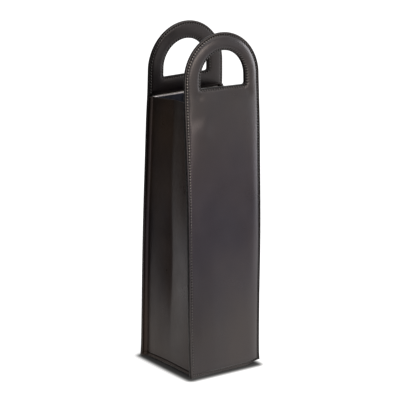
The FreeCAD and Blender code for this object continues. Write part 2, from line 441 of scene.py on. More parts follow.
@dataclass(frozen=True)
class Finishes:
    """The materials of the carrier, built once."""

    panel: Material
    facing: Material
    gusset: Material
    lining: Material
    thread: Material
    board: Material
    foam: Material

    @classmethod
    def build(cls) -> "Finishes":
        """Builds every finish of the carrier.

        Returns:
            The finishes.
        """
        # Painted shade: the facing is a darker, less glossy copy of the panel leather, for the handle's
        # shaded inner side
        facing = LeatherFinish("facing_leather", deep=(0.005, 0.004, 0.005), worn=(0.016, 0.012, 0.011),
                               gleam=0.42)
        gusset = LeatherFinish("gusset_leather", deep=(0.0125, 0.0095, 0.0095), worn=(0.034, 0.0235, 0.0175),
                               sheen=(1.0, 0.8, 0.72), cool_sheen=(1.0, 0.84, 0.98), gleam=0.26,
                               creases=0.14 * MM)
        board = FibreFinish("stiffener_board", (0.36, 0.3, 0.23), (0.5, 0.43, 0.34), 1.2 * MM, 0.05 * MM)
        foam = FibreFinish("padding_felt", (0.62, 0.6, 0.54), (0.78, 0.76, 0.7), 0.6 * MM, 0.2 * MM)
        return cls(
            panel=LeatherFinish("panel_leather").build(),
            facing=facing.build(),
            gusset=gusset.build(),
            lining=ClothFinish("striped_lining").build(),
            thread=ThreadFinish("waxed_thread").build(),
            board=board.build(),
            foam=foam.build(),
        )


# Meshes


def smooth_step(value: Points, low: float, high: float) -> Points:
    """Rises smoothly from 0 at low to 1 at high."""
    share = np.clip((value - low) / (high - low), 0.0, 1.0)
    return share * share * (3.0 - 2.0 * share)


def soft_min(first: Points, second: Points, soft: float) -> Points:
    """The smaller of two numbers, rounded where they meet."""
    return np.minimum(first, second) - soft * np.log1p(np.exp(-np.abs(first - second) / soft))


def bell(value: Points, middle: float, width: float) -> Points:
    """A bell curve with height 1."""
    return np.exp(-(((value - middle) / width) ** 2))


def between(first: float, second: float, share: Points) -> Points:
    """Goes from a first number to a second one by a share."""
    return first + (second - first) * share


def run_along(path: Points) -> Points:
    """Distance along a path at each of its points."""
    return np.concatenate([[0.0], np.cumsum(np.linalg.norm(np.diff(path, axis=0), axis=1))])


def points_at(path: Points, distances: Points) -> Points:
    """Points of a path at given distances along it."""
    run = run_along(path)
    return np.column_stack([np.interp(distances, run, column) for column in path.T])


def add_piece(name: str, points: Points, faces: Sequence[Sequence[int]], material: Material) -> Piece:
    """Makes a smooth-shaded object from points and faces.

    Args:
        name: Name of the piece.
        points: Its points, in metres.
        faces: Point numbers of each face, anticlockwise seen from outside.
        material: Its finish.

    Returns:
        The new object, linked to the scene.
    """
    mesh = bpy.data.meshes.new(name)
    mesh.from_pydata(points.tolist(), [], [tuple(map(int, face)) for face in faces])
    mesh.polygons.foreach_set("use_smooth", np.ones(len(mesh.polygons), dtype=bool))
    mesh.materials.append(material)
    mesh.update()
    return link_object(name, mesh)


def link_object(name: str, data: bpy.types.ID) -> Piece:
    """Makes an object and links it to the scene.

    Args:
        name: Name of the object.
        data: Its mesh, lamp or camera.

    Returns:
        The new object.
    """
    made = bpy.data.objects.new(name, data)
    bpy.context.scene.collection.objects.link(made)
    return made


def declare(piece: Piece, slot: Slot, *nodes: str) -> None:
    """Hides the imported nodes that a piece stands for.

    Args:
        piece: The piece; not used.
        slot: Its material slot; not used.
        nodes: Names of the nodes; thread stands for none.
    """
    if nodes:
        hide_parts(*nodes)


def set_shade_and_wear(piece: Piece, seam: Points, rim: Points) -> None:
    """Stores the painted shade, paint and wear that the leather's finish reads.

    Args:
        piece: The piece.
        seam: How dark each point is painted for seams, paint and painted shade, from 0 to 1.
        rim: How far each point lies on a rim painted paler for wear and highlight, from 0 to 1.
    """
    for name, values in (("seam", seam), ("rim", rim)):
        layer = piece.data.attributes.new(name, "FLOAT", "POINT")
        layer.data.foreach_set("value", np.asarray(values, dtype=np.float32))


def set_uv(piece: Piece, across: Points, along: Points) -> None:
    """Stores a UV map in metres on both faces of a sheet made from a grid.

    Args:
        piece: The sheet.
        across: Place of each column.
        along: Place of each row.
    """
    places = np.column_stack([np.tile(grid.ravel(), 2) for grid in np.meshgrid(across, along)])
    corners = np.empty(len(piece.data.loops), dtype=np.int32)
    piece.data.loops.foreach_get("vertex_index", corners)
    layer = piece.data.uv_layers.new(name="cloth")
    layer.data.foreach_set("uv", places[corners].astype(np.float32).ravel())


def open_edges(faces: Points) -> Points:
    """Finds the edges that only one face uses, in that face's own direction.

    Args:
        faces: Triangles or quads as rows of point numbers.

    Returns:
        Rows of two point numbers.
    """
    ends = np.concatenate([faces[:, [i, (i + 1) % faces.shape[1]]] for i in range(faces.shape[1])])
    _, first, uses = np.unique(np.sort(ends, axis=1), axis=0, return_index=True, return_counts=True)
    return ends[first[uses == 1]]


def close_sheet(shown: Points, hidden: Points, faces: Points) -> tuple[Points, list]:
    """Closes two copies of a sheet into one skin with a rim.

    Args:
        shown: Points of the outer face.
        hidden: Points of the inner face, in the same order.
        faces: Faces of the outer face, anticlockwise seen from outside.

    Returns:
        All points, and all faces.
    """
    count = len(shown)
    rim = open_edges(faces)
    walls = np.column_stack([rim[:, 0], rim[:, 0] + count, rim[:, 1] + count, rim[:, 1]])
    closed = faces.tolist() + (faces[:, ::-1] + count).tolist() + walls.tolist()
    return np.concatenate([shown, hidden]), closed


def grid_faces(rows: int, columns: int) -> Points:
    """Quads of a grid of points that is stored row by row."""
    first = (np.arange(rows - 1)[:, None] * columns + np.arange(columns - 1)[None, :]).ravel()
    return np.column_stack([first, first + 1, first + columns + 1, first + columns])


def grid_normals(grid: Points) -> Points:
    """Unit normals of a grid of points, for rows that run up and columns to the right.

    Args:
        grid: Points as rows, columns and coordinates.

    Returns:
        Normals in the same layout.
    """
    normals = np.cross(np.gradient(grid, axis=1), np.gradient(grid, axis=0))
    return normals / np.maximum(np.linalg.norm(normals, axis=2, keepdims=True), 1e-12)


def thick_grid(name: str, grid: Points, thickness: Points, material: Material,
               turned: bool = False) -> Piece:
    """Makes a closed sheet of leather or cloth from the grid of its middle surface.

    Args:
        name: Name of the piece.
        grid: Points as rows, columns and coordinates.
        thickness: Thickness for the whole grid or for each point.
        material: Its finish.
        turned: Whether the outer face is on the other side of the grid.

    Returns:
        The piece.
    """
    half = np.broadcast_to(np.asarray(thickness, dtype=float), grid.shape[:2])[..., None] / 2.0
    offset = grid_normals(grid) * half * (-1.0 if turned else 1.0)
    faces = grid_faces(*grid.shape[:2])
    points, closed = close_sheet((grid + offset).reshape(-1, 3), (grid - offset).reshape(-1, 3),
                                 faces[:, ::-1] if turned else faces)
    return add_piece(name, points, closed, material)


def hem_profile(low: float, crest: float, roll: float, lap: float, lean: Pair) -> Points:
    """Runs up a lining, over its rolled hem and down the turned-in lap.

    Args:
        low: Height of the lining's foot.
        crest: Height where the roll starts.
        roll: Radius of the roll.
        lap: How far the turned-in cloth goes down.
        lean: Heights between which the cloth leans in towards the roll.

    Returns:
        Rows of two numbers: height, and distance in from the wall.
    """
    wall_rows, turn_rows, lap_rows = 90, 9, 8
    wall = np.linspace(low, crest, wall_rows)
    turn = np.linspace(0.0, math.pi, turn_rows)[1:-1]
    down = np.linspace(crest, crest - lap, lap_rows)
    leaning = 2 * roll * smooth_step(wall, *lean)
    rise = np.concatenate([wall, crest + roll * np.sin(turn), down])
    stand = np.concatenate([leaning, roll + roll * np.cos(turn), np.zeros_like(down)])
    return np.column_stack([rise, stand])


# Shape of the carrier


@dataclass(frozen=True)
class CarrierSizes:
    """Main sizes of the carrier, in metres; the first four are read from the frame."""

    half_width: float
    mouth_depth: float
    mouth_height: float
    apex: float
    floor_depth: float = 48.4 * MM
    hole_half: float = 30.0 * MM
    sill_height: float = 16.5 * MM
    sill_corner: float = 2.5 * MM
    soft_bend: float = 12.0 * MM
    bow: float = 3.3 * MM
    flare: float = 1.4 * MM
    flare_drop: float = 12 * MM
    flare_spread: float = 55 * MM
    flare_held: float = 0.65
    back_lift: float = 1.5 * MM
    front_droop: float = 0.0422
    back_droop: float = -0.005
    corner_lift: float = 4.2 * MM
    corner_spread: float = 20 * MM
    nod: float = 0.8 * MM
    nod_rise: float = 30 * MM
    front_pull: float = 3.4 * MM
    back_pull: float = 0.6 * MM
    pull_spread: float = 55 * MM
    right_pull: float = 1.2 * MM
    right_heights: Pair = (60 * MM, 180 * MM)
    bend_zone: Pair = (-2.0 * MM, 6.0 * MM)

    @classmethod
    def from_frame(cls) -> "CarrierSizes":
        """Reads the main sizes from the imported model.

        Returns:
            The sizes.
        """
        joint = next(j for j in frame["record"]["behaviour"]["joints"] if j["name"] == "front_handle_flex")
        return cls(
            half_width=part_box("front_panel_leather")[1].x,
            mouth_depth=-joint["pos_m"][1],
            mouth_height=joint["pos_m"][2],
            apex=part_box("front_handle_leather")[1].z,
        )

    @property
    def spring(self) -> float:
        """Height of the arch's centre."""
        return self.apex - self.half_width

    @property
    def sill(self) -> float:
        """Height of the hand hole's lower edge."""
        return self.mouth_height + self.sill_height

    def depth(self, height: Points) -> Points:
        """Distance of a panel's rim from the carrier's middle plane.

        Args:
            height: Height above the floor.

        Returns:
            The distance, larger at the foot and where the wall bows.
        """
        below = self.mouth_height - height
        lean = (self.floor_depth - self.mouth_depth) / self.mouth_height
        share = np.clip(height / self.mouth_height, 0.0, 1.0)
        bow = self.bow * np.sin(math.pi * share**1.3)
        return self.mouth_depth + bow + lean * 0.5 * (below + np.sqrt(below**2 + self.soft_bend**2))

    def settle(self, points: Points) -> Points:
        """Lets the soft walls droop to the right and stand out at the mouth, as the carrier stands.

        Args:
            points: Points with X, Y and Z in the last axis.

        Returns:
            The settled points.
        """
        x, y, z = (points[..., i] for i in range(3))
        right, left = x / self.half_width, -x / self.half_width
        back = np.clip(0.5 + y / (2.0 * self.mouth_depth), 0.0, 1.0)
        back_foot = np.clip(0.5 + y / (2.0 * self.floor_depth), 0.0, 1.0)
        droop = between(self.front_droop, self.back_droop, back)
        pull = between(self.front_pull, self.back_pull, back_foot) * smooth_step(left, 0.0, 1.0)
        pull = pull * np.exp(-z / self.pull_spread)
        narrow = smooth_step(right, 0.0, 1.0) * (1.0 - smooth_step(z, *self.right_heights))
        held = smooth_step(left, 0.2, 1.0) * smooth_step(-y / self.mouth_depth, 0.0, 0.9)
        flare = self.flare * bell(z, self.mouth_height - self.flare_drop, self.flare_spread)
        flare = flare * (1.0 - self.flare_held * held)
        nod = self.nod * (1.0 - back) * smooth_step(z, self.mouth_height, self.mouth_height + self.nod_rise)
        corner = smooth_step(right, 0.55, 1.0) * smooth_step(-y / self.floor_depth, 0.6, 0.95)
        lift = self.corner_lift * corner * np.exp(-z / self.corner_spread)
        settled = points.copy()
        settled[..., 0] += flare * right + pull - self.right_pull * narrow - nod
        settled[..., 2] += z / self.apex * (self.back_lift * back - droop * x) + lift + nod
        return settled


@dataclass(frozen=True)
class Dent:
    """A soft hollow or swelling in padded leather."""

    across: float
    height: float
    depth: float
    width: float
    length: float

    def shape(self, across: Points, height: Points) -> Points:
        """How far the leather stands out here."""
        return self.depth * bell(across, self.across, self.width) * bell(height, self.height, self.length)


@dataclass(frozen=True)
class ArchOutline:
    """A sheet with straight sides, an arched top and a D-shaped hand hole.

    The rings are distances from the edges in millimetres, closer together at the seams.
    """

    sizes: CarrierSizes
    bottom: float = 0.0
    open_foot: bool = False
    rings: tuple[float, ...] = (0.0, 0.25, 0.55, 0.9, 1.4, 2.0, 2.5, 2.85, 3.2, 3.55, 3.9, 4.4, 5.0, 5.7,
                                6.5, 7.5)
    fine_zone: Pair = (-1.9 * MM, 3.4 * MM)
    seam_inset: float = 3.2 * MM
    hole_inset: float = 2.4 * MM
    above_foot: float = 0.1 * MM
    awl_shift: float = 0.6 * MM
    dimple_reach: float = 2.6
    stitch: float = 3.2 * MM
    step: float = 1.6 * MM
    seam_step: float = 0.58 * MM
    field_step: float = 2.4 * MM

    def edge_distance(self, across: Points, height: Points) -> Points:
        """Distance from the outer edge, inwards.

        Args:
            across: Place across the sheet.
            height: Height on the flat sheet.

        Returns:
            The distance, below 0 outside the sheet.
        """
        s = self.sizes
        straight = np.minimum(s.half_width - np.abs(across), height - self.bottom)
        round_top = s.half_width - np.hypot(across, height - s.spring)
        return np.where(height < s.spring, straight, round_top)

    def hole_distance(self, across: Points, height: Points) -> Points:
        """Distance from the hand hole's edge, outwards.

        Args:
            across: Place across the sheet.
            height: Height on the flat sheet.

        Returns:
            The distance, below 0 inside the hole.
        """
        s = self.sizes
        side = np.abs(across)
        corner_height = s.sill + s.sill_corner
        corner_side = s.hole_half - s.sill_corner
        corner = np.hypot(np.maximum(side - corner_side, 0.0), np.minimum(height - corner_height, 0.0))
        low = np.where(side < corner_side, s.sill - height, corner - s.sill_corner)
        straight = np.where(height >= corner_height, side - s.hole_half, low)
        round_top = np.hypot(across, height - s.spring) - s.hole_half
        return np.where(height >= s.spring, round_top, straight)

    def outer_ring(self, inset: float, step: float) -> Points:
        """Points along the outer edge, moved inwards.

        Args:
            inset: How far inwards.
            step: Distance between points.

        Returns:
            A closed ring of points, anticlockwise, starting at the lower left corner.
        """
        s = self.sizes
        half, low = s.half_width - inset, self.bottom + inset
        across = np.linspace(-half, half, max(2, round(2 * half / step)), endpoint=False)
        up = np.linspace(low, s.spring, max(2, round((s.spring - low) / step)), endpoint=False)
        turn = np.linspace(0.0, math.pi, max(4, round(math.pi * half / step)), endpoint=False)
        return np.concatenate([
            np.column_stack([across, np.full_like(across, low)]),
            np.column_stack([np.full_like(up, half), up]),
            np.column_stack([half * np.cos(turn), s.spring + half * np.sin(turn)]),
            np.column_stack([np.full_like(up, -half), s.spring + low - up]),
        ])

    def hole_ring(self, outset: float, step: float) -> Points:
        """Points along the hand hole's edge, moved outwards.

        Args:
            outset: How far outwards.
            step: Distance between points.

        Returns:
            A closed ring of points, anticlockwise, starting at the sill's left end.
        """
        s = self.sizes
        half, low, corner = s.hole_half + outset, s.sill - outset, s.sill_corner + outset
        flat, foot = s.hole_half - s.sill_corner, low + corner
        across = np.linspace(-flat, flat, max(2, round(2 * flat / step)), endpoint=False)
        bend = np.linspace(0.0, math.pi / 2, max(3, round(corner * math.pi / 2 / step)), endpoint=False)
        up = np.linspace(foot, s.spring, max(2, round((s.spring - low - corner) / step)), endpoint=False)
        turn = np.linspace(0.0, math.pi, max(4, round(math.pi * half / step)), endpoint=False)
        return np.concatenate([
            np.column_stack([across, np.full_like(across, low)]),
            np.column_stack([flat + corner * np.sin(bend), foot - corner * np.cos(bend)]),
            np.column_stack([np.full_like(up, half), up]),
            np.column_stack([half * np.cos(turn), s.spring + half * np.sin(turn)]),
            np.column_stack([np.full_like(up, -half), s.spring + foot - up]),
            np.column_stack([-flat - corner * np.cos(bend), foot - corner * np.sin(bend)]),
        ])

    def edge_seam(self) -> Points:
        """The seam along the outer edge, which leaves out the foot where that isn't sewn.

        Returns:
            Points as across and height; the last one is the first again where the seam closes.
        """
        ring = self.outer_ring(self.seam_inset, self.seam_step)
        if self.open_foot:
            return ring[ring[:, 1] > ring[0, 1] + self.above_foot]
        return np.concatenate([ring, ring[:1]])

    def hole_seam(self) -> Points:
        """The closed seam round the hand hole."""
        ring = self.hole_ring(self.hole_inset, self.seam_step)
        return np.concatenate([ring, ring[:1]])

    def gap_count(self, seam: Points) -> int:
        """How many stitch lengths go into a seam."""
        return round(run_along(seam)[-1] / self.stitch)

    def awl_holes(self) -> Points:
        """Places between stitches where the thread goes through the sheet.

        Returns:
            Points as across and height, for the outer seam and the hand hole's.
        """
        holes = []
        for seam in (self.edge_seam(), self.hole_seam()):
            count = self.gap_count(seam)
            holes.append(points_at(seam, (np.arange(count) + 0.5) / count * run_along(seam)[-1]))
        return np.concatenate(holes)

    def pits(self, across: Points, height: Points, width: float, reach: float) -> Points:
        """How far each point lies in the dimple of an awl hole, from 0 to 1.

        Args:
            across: Place across the sheet.
            height: Height on the flat sheet.
            width: Half width of a dimple along the seam and towards the edge.
            reach: Half width of a dimple away from the edge.

        Returns:
            The share for each point.
        """
        near = np.minimum(self.edge_distance(across, height) - self.seam_inset,
                          self.hole_distance(across, height) - self.hole_inset)
        outmost = -self.dimple_reach * width - self.awl_shift
        close = np.flatnonzero((near > outmost) & (near < self.dimple_reach * reach))
        hole_across, hole_height = self.awl_holes().T
        gap = np.hypot(across[close, None] - hole_across, height[close, None] - hole_height).min(axis=1)
        along = np.sqrt(np.maximum(gap**2 - near[close] ** 2, 0.0))
        beside = near[close] + self.awl_shift
        spread = np.where(beside > 0.0, reach, width)
        share = np.zeros_like(across)
        share[close] = bell(along, 0.0, width) * bell(beside / spread, 0.0, 1.0)
        return share

    def field_points(self) -> Points:
        """Points of the field between the rings, in staggered rows.

        Returns:
            Points further from both edges than the last ring.
        """
        s = self.sizes
        rows = np.arange(self.bottom, s.apex, self.field_step * 0.87)
        columns = np.arange(-s.half_width, s.half_width, self.field_step)
        across, height = np.meshgrid(columns, rows)
        across = across + (np.arange(len(rows)) % 2)[:, None] * self.field_step / 2.0
        points = np.column_stack([across.ravel(), height.ravel()])
        clear = self.rings[-1] * MM + 0.6 * self.field_step
        keep = (self.edge_distance(*points.T) > clear) & (self.hole_distance(*points.T) > clear)
        return points[keep]

    @functools.cache
    def triangulate(self) -> tuple[Points, Points]:
        """Covers the sheet with triangles that follow both edges.

        Returns:
            Points as across and height, and triangles anticlockwise.
        """
        loops = [self.outer_ring(0.0, self.step), self.hole_ring(0.0, self.step)]
        rings = []
        for inset in self.rings[1:]:
            near_seam = self.fine_zone[0] < inset * MM - self.seam_inset < self.fine_zone[1]
            step = self.seam_step if near_seam else self.step
            rings += [self.outer_ring(inset * MM, step), self.hole_ring(inset * MM, step)]
        points = np.concatenate([*loops, *rings, self.field_points()]) / MM
        edges, start = [], 0
        for loop in loops:
            edges += [(start + i, start + (i + 1) % len(loop)) for i in range(len(loop))]
            start += len(loop)
        made = delaunay_2d_cdt([Vector(point) for point in points], edges, [], 0, 1e-5)
        flat = np.array([tuple(point) for point in made[0]]) * MM
        faces = np.array(made[2])
        middle = flat[faces].mean(axis=1)
        faces = faces[(self.hole_distance(*middle.T) > 0) & (self.edge_distance(*middle.T) > 0)]
        clockwise = doubled_areas(flat, faces) < 0.0
        faces[clockwise] = faces[clockwise][:, ::-1]
        return flat, faces


def doubled_areas(flat: Points, faces: Points) -> Points:
    """Twice the area of each triangle on a flat sheet, below 0 where it runs clockwise."""
    second, third = (flat[faces[:, i]] - flat[faces[:, 0]] for i in (1, 2))
    return second[:, 0] * third[:, 1] - second[:, 1] * third[:, 0]


# Seams


@dataclass(frozen=True)
class SeamRow:
    """One row of stitches: the place of each, the way out of the surface there, how much paler it is
    painted.
    """

    path: Points
    outward: Points
    worn: Points


@dataclass
class Stitcher:
    """Sews rows of stitches along seams with Geometry Nodes."""

    thread: Material
    length: float = 1.9 * MM
    thickness: float = 0.95 * MM
    lean: float = math.radians(9.0)
    segments: int = 8
    rings: int = 6
    tree: bpy.types.NodeTree = field(init=False)

    def __post_init__(self) -> None:
        """Builds the node tree once."""
        self.tree = self.build_tree()

    def build_tree(self) -> bpy.types.NodeTree:
        """Builds the tree that sets a slanted stitch at each step along a seam.

        Returns:
            The node tree.
        """
        tree = bpy.data.node_groups.new("seam_stitches", "GeometryNodeTree")
        kinds = {"Seam": "Geometry", "Length": "Float", "Thickness": "Float", "Lean": "Float",
                 "Thread": "Material"}
        for name, kind in kinds.items():
            tree.interface.new_socket(name, in_out="INPUT", socket_type=f"NodeSocket{kind}")
        tree.interface.new_socket("Stitches", in_out="OUTPUT", socket_type="NodeSocketGeometry")
        wiring = Wiring(tree)
        given = wiring.add("NodeGroupInput").outputs
        curve = wiring.out("GeometryNodeMeshToCurve", "Curve", {"Mesh": given["Seam"]})
        steps = wiring.add("GeometryNodeCurveToPoints", {"Curve": curve}, mode="EVALUATED").outputs
        along = wiring.out("FunctionNodeAlignRotationToVector", "Rotation",
                           {"Vector": steps["Tangent"]}, axis="Z")
        outward = wiring.out("GeometryNodeInputNamedAttribute", "Attribute", {"Name": "outward"},
                             data_type="FLOAT_VECTOR")
        facing = wiring.out("FunctionNodeAlignRotationToVector", "Rotation",
                            {"Rotation": along, "Vector": outward}, axis="Y", pivot_axis="Z")
        slant = wiring.out("FunctionNodeAxisAngleToRotation", "Rotation",
                           {"Axis": (0.0, 1.0, 0.0), "Angle": given["Lean"]})
        leaned = wiring.out("FunctionNodeRotateRotation", "Rotation",
                            {"Rotation": facing, "Rotate By": slant}, rotation_space="LOCAL")
        bead = wiring.out("GeometryNodeMeshUVSphere", "Mesh",
                          {"Segments": self.segments, "Rings": self.rings, "Radius": 0.5})
        size = wiring.out("ShaderNodeCombineXYZ", "Vector",
                          {"X": given["Thickness"], "Y": given["Thickness"], "Z": given["Length"]})
        stitch = wiring.out("GeometryNodeTransform", "Geometry", {"Geometry": bead, "Scale": size})
        sewn = wiring.out("GeometryNodeInstanceOnPoints", "Instances",
                          {"Points": steps["Points"], "Instance": stitch, "Rotation": leaned})
        real = wiring.out("GeometryNodeRealizeInstances", "Geometry", {"Geometry": sewn})
        soft = wiring.out("GeometryNodeSetShadeSmooth", "Geometry", {"Geometry": real})
        dyed = wiring.out("GeometryNodeSetMaterial", "Geometry",
                          {"Geometry": soft, "Material": given["Thread"]})
        wiring.add("NodeGroupOutput", {"Stitches": dyed})
        return tree

    def sew(self, name: str, rows: Sequence[SeamRow]) -> Piece:
        """Sews several rows as one piece.

        Args:
            name: Name of the piece.
            rows: Rows of stitches on one body.

        Returns:
            A plain mesh of all the stitches.
        """
        edges, start = [], 0
        for row in rows:
            count = len(row.path)
            edges += [(start + i, start + i + 1) for i in range(count - 1)]
            start += count
        parts = zip(*((row.path, row.outward, row.worn) for row in rows))
        path, outward, worn = (np.concatenate(part) for part in parts)
        seam = bpy.data.meshes.new(name + "_path")
        seam.from_pydata(path.tolist(), edges, [])
        layer = seam.attributes.new("outward", "FLOAT_VECTOR", "POINT")
        layer.data.foreach_set("vector", outward.astype(np.float32).ravel())
        layer = seam.attributes.new("worn", "FLOAT", "POINT")
        layer.data.foreach_set("value", worn.astype(np.float32))
        guide = link_object(name + "_path", seam)
        sewing = guide.modifiers.new("stitches", "NODES")
        sewing.node_group = self.tree
        values = {"Length": self.length, "Thickness": self.thickness, "Lean": self.lean,
                  "Thread": self.thread}
        for socket in self.tree.interface.items_tree:
            if socket.in_out == "INPUT" and socket.name in values:
                sewing[socket.identifier] = values[socket.name]
        found = bpy.context.evaluated_depsgraph_get()
        mesh = bpy.data.meshes.new_from_object(guide.evaluated_get(found))
        guide.modifiers.remove(sewing)
        bpy.data.objects.remove(guide)
        bpy.data.meshes.remove(seam)
        mesh.name = name
        return link_object(name, mesh)


# Panels with their handles


@dataclass
class PaddedPanel:
    """A padded panel that runs up into an arched handle, with its facing, lining, padding and seams."""

    side: Side
    sizes: CarrierSizes
    finishes: Finishes
    stitcher: Stitcher
    skin: float = 1.3 * MM
    rim_out: float = 0.95 * MM
    rim_in: float = 0.6 * MM
    edge_round: float = 1.0 * MM
    merge: float = 2.0 * MM
    groove: float = 0.12 * MM
    groove_width: float = 0.7 * MM
    groove_line: float = 0.5 * MM
    pit_depth: float = 0.85 * MM
    pit_width: float = 0.8 * MM
    pit_reach: float = 1.0 * MM
    pit_heights: Pair = (60 * MM, 260 * MM)
    pucker: float = 0.5 * MM
    pucker_width: float = 1.0 * MM
    pucker_reach: float = 2.2 * MM
    pucker_drop: Pair = (40 * MM, 95 * MM)
    swell: float = 2.5 * MM
    handle_swell: float = 3.2 * MM
    handle_blend: float = 10 * MM
    pillow: float = 14.0 * MM
    right_pillow: float = 7.0 * MM
    slack: float = 0.75
    slack_drop: Pair = (55 * MM, 105 * MM)
    sill_roll: float = 1.8 * MM
    sill_roll_width: float = 13 * MM
    sill_roll_rise: float = 75 * MM
    foot_rise: float = 2.5
    foot_merge: float = 0.3 * MM
    hole_edge: float = 2.4 * MM
    hole_line: float = 0.4 * MM
    crown: float = 0.9 * MM
    field_rise: float = 12 * MM
    wave: float = 0.42 * MM
    wave_length: float = 118 * MM
    ripple: float = 0.2 * MM
    ripple_length: float = 57 * MM
    sway_length: float = 150 * MM
    dent_rise: float = 5 * MM
    hollow_edge: Pair = (4.8 * MM, 6.0 * MM)
    # Paler rims for wear and painted highlight; seams, edge paint and painted shade darker
    rim_wear_and_highlight: Pair = (0.9 * MM, 1.9 * MM)
    groove_dark: float = 0.15
    hole_heights: Pair = (4 * MM, 120 * MM)
    edge_paint_and_shade: Pair = (0.1 * MM, 0.6 * MM)
    edge_shade_heights: Pair = (20 * MM, 150 * MM)
    hole_paint_and_shade: Pair = (0.5 * MM, 1.6 * MM)
    hole_dark: float = 0.75
    shade_edge: Pair = (3.7 * MM, 5.2 * MM)
    shade_widening: float = 1.1 * MM
    shade_heights: Pair = (120 * MM, 200 * MM)
    shade_dark: float = 0.8
    highlight_edge: Pair = (4 * MM, 5 * MM)
    highlight_drop: Pair = (40 * MM, 150 * MM)
    facing: float = 1.8 * MM
    facing_gap: float = 0.05 * MM
    facing_swell: float = 0.7 * MM
    facing_soft: float = 4 * MM
    facing_tuck: float = 3.0 * MM
    thread_rise: float = 0.1 * MM
    bottom_lift: float = 0.3 * MM
    lift_spread: float = 24 * MM
    corner_flare: float = 0.7 * MM
    flare_spread: float = 8 * MM
    cloth: float = 0.45 * MM
    cloth_columns: int = 72
    cloth_slack: float = 0.45 * MM
    cloth_fold: float = 31 * MM
    cloth_sway: float = 70 * MM
    slack_rise: float = 30 * MM
    slack_end: Pair = (12 * MM, 2 * MM)
    lining_half: float = 44.0 * MM
    lining_foot: float = 5.6 * MM
    hem_drop: float = 3.9 * MM
    hem_roll: float = 1.1 * MM
    hem_lap: float = 9 * MM
    hem_lean: Pair = (26 * MM, 4 * MM)
    board: float = 1.0 * MM
    board_top: float = 0.4 * MM
    pad_foot: float = 0.45 * MM
    pad_least: float = 0.6 * MM
    pad_gap: float = 0.1 * MM
    outline: ArchOutline = field(init=False)
    facing_outline: ArchOutline = field(init=False)

    def __post_init__(self) -> None:
        """Sets the outlines of the outer leather and of the facing."""
        foot = self.sizes.mouth_height - self.facing_tuck
        self.outline = ArchOutline(self.sizes)
        self.facing_outline = ArchOutline(self.sizes, bottom=foot, open_foot=True)

    @property
    def dents(self) -> tuple[Dent, ...]:
        """Soft hollows and swellings of this panel, as the leather has taken them in use.

        Returns:
            The dents: place across, height, depth, width and length.
        """
        if self.side is Side.BACK:
            return (Dent(20 * MM, 180 * MM, -0.5 * MM, 25 * MM, 60 * MM),)
        return (
            Dent(-36 * MM, 297 * MM, -0.8 * MM, 8 * MM, 9 * MM),
            Dent(-33 * MM, 321 * MM, -0.9 * MM, 4.5 * MM, 4 * MM),
            Dent(34 * MM, 321 * MM, -0.9 * MM, 4.5 * MM, 4 * MM),
            Dent(-29 * MM, 284 * MM, 1.0 * MM, 9 * MM, 15 * MM),
            Dent(10 * MM, 190 * MM, -0.5 * MM, 30 * MM, 50 * MM),
            Dent(22 * MM, 60 * MM, 0.4 * MM, 22 * MM, 40 * MM),
            Dent(38.5 * MM, 198 * MM, 0.7 * MM, 6 * MM, 42 * MM),
        )

    def named(self, name: str) -> str:
        """Puts the panel's side before a name."""
        return f"{self.side.word}_{name}"

    def place(self, across: Points, height: Points, out: Points | float) -> Points:
        """Puts points of the panel in the carrier's frame.

        Args:
            across: Place across the panel, to the right seen from outside.
            height: Height on the flat panel.
            out: Distance outwards from the rim's middle plane.

        Returns:
            Points in metres.
        """
        s = self.sizes
        share = across / s.half_width
        lift = self.bottom_lift * (1.0 - share**2) * np.exp(-height / self.lift_spread)
        flare = self.corner_flare * np.abs(share) ** 6 * np.exp(-height / self.flare_spread)
        x = across + np.sign(across) * flare
        y = s.depth(height) + out + 0.6 * flare
        turn = -self.side.value
        return s.settle(np.stack([turn * x, -turn * y, height + lift], axis=-1))

    def edge_rise(self, outer: Points, hole: Points) -> Points:
        """How far the rounded edge has risen, from 0 at the cut to 1."""
        edge = np.clip(np.minimum(outer, hole) / self.edge_round, 0.0, 1.0)
        return np.sqrt(1.0 - (1.0 - edge) ** 2)

    def padding(self, across: Points, height: Points, on_handle: Points) -> Points:
        """How far the padding lifts the leather between its seams.

        Args:
            across: Place across the panel.
            height: Height on the flat panel.
            on_handle: Share that is 1 on the handle and 0 on the wall.

        Returns:
            Distance outwards in metres.
        """
        s, inset = self.sizes, self.outline.seam_inset
        share = across / s.half_width
        outer = self.outline.edge_distance(across, height)
        sides = np.where(height < s.spring, s.half_width - np.abs(across), outer) - inset
        foot = self.foot_rise * (height - self.outline.bottom - inset)
        pillow = self.pillow + self.right_pillow * smooth_step(share, 0.0, 0.7)
        from_edge = np.clip(soft_min(sides, foot, self.foot_merge), 0.0, pillow)
        from_hole = np.clip(self.outline.hole_distance(across, height) + self.hole_edge, 0.0, pillow)
        round_over = 4.0 * from_edge * from_hole / np.maximum(from_edge + from_hole, 1e-6) ** 2
        slack = smooth_step(-share, 0.3, 0.9) * smooth_step(s.mouth_height - height, *self.slack_drop)
        swell = between(self.swell, self.handle_swell, on_handle) * (1.0 - self.slack * slack)
        roll = smooth_step(s.sill - inset - height, 0.0, self.sill_roll_width)
        roll = roll * smooth_step(height, s.mouth_height - self.sill_roll_rise, s.mouth_height)
        return swell * round_over + self.sill_roll * roll * (1.0 - share**2)

    def waves(self, across: Points, height: Points) -> Points:
        """Long shallow waves of the soft leather, and shorter ones that run aslant.

        Args:
            across: Place across the panel.
            height: Height on the flat panel.

        Returns:
            Distance outwards in metres.
        """
        sway = 1.4 * np.sin(math.tau * across / self.sway_length)
        slanted = 0.7 * across + 0.5 * height
        return (self.wave * np.sin(math.tau * height / self.wave_length + sway)
                + self.ripple * np.sin(math.tau * slanted / self.ripple_length + 1.9))

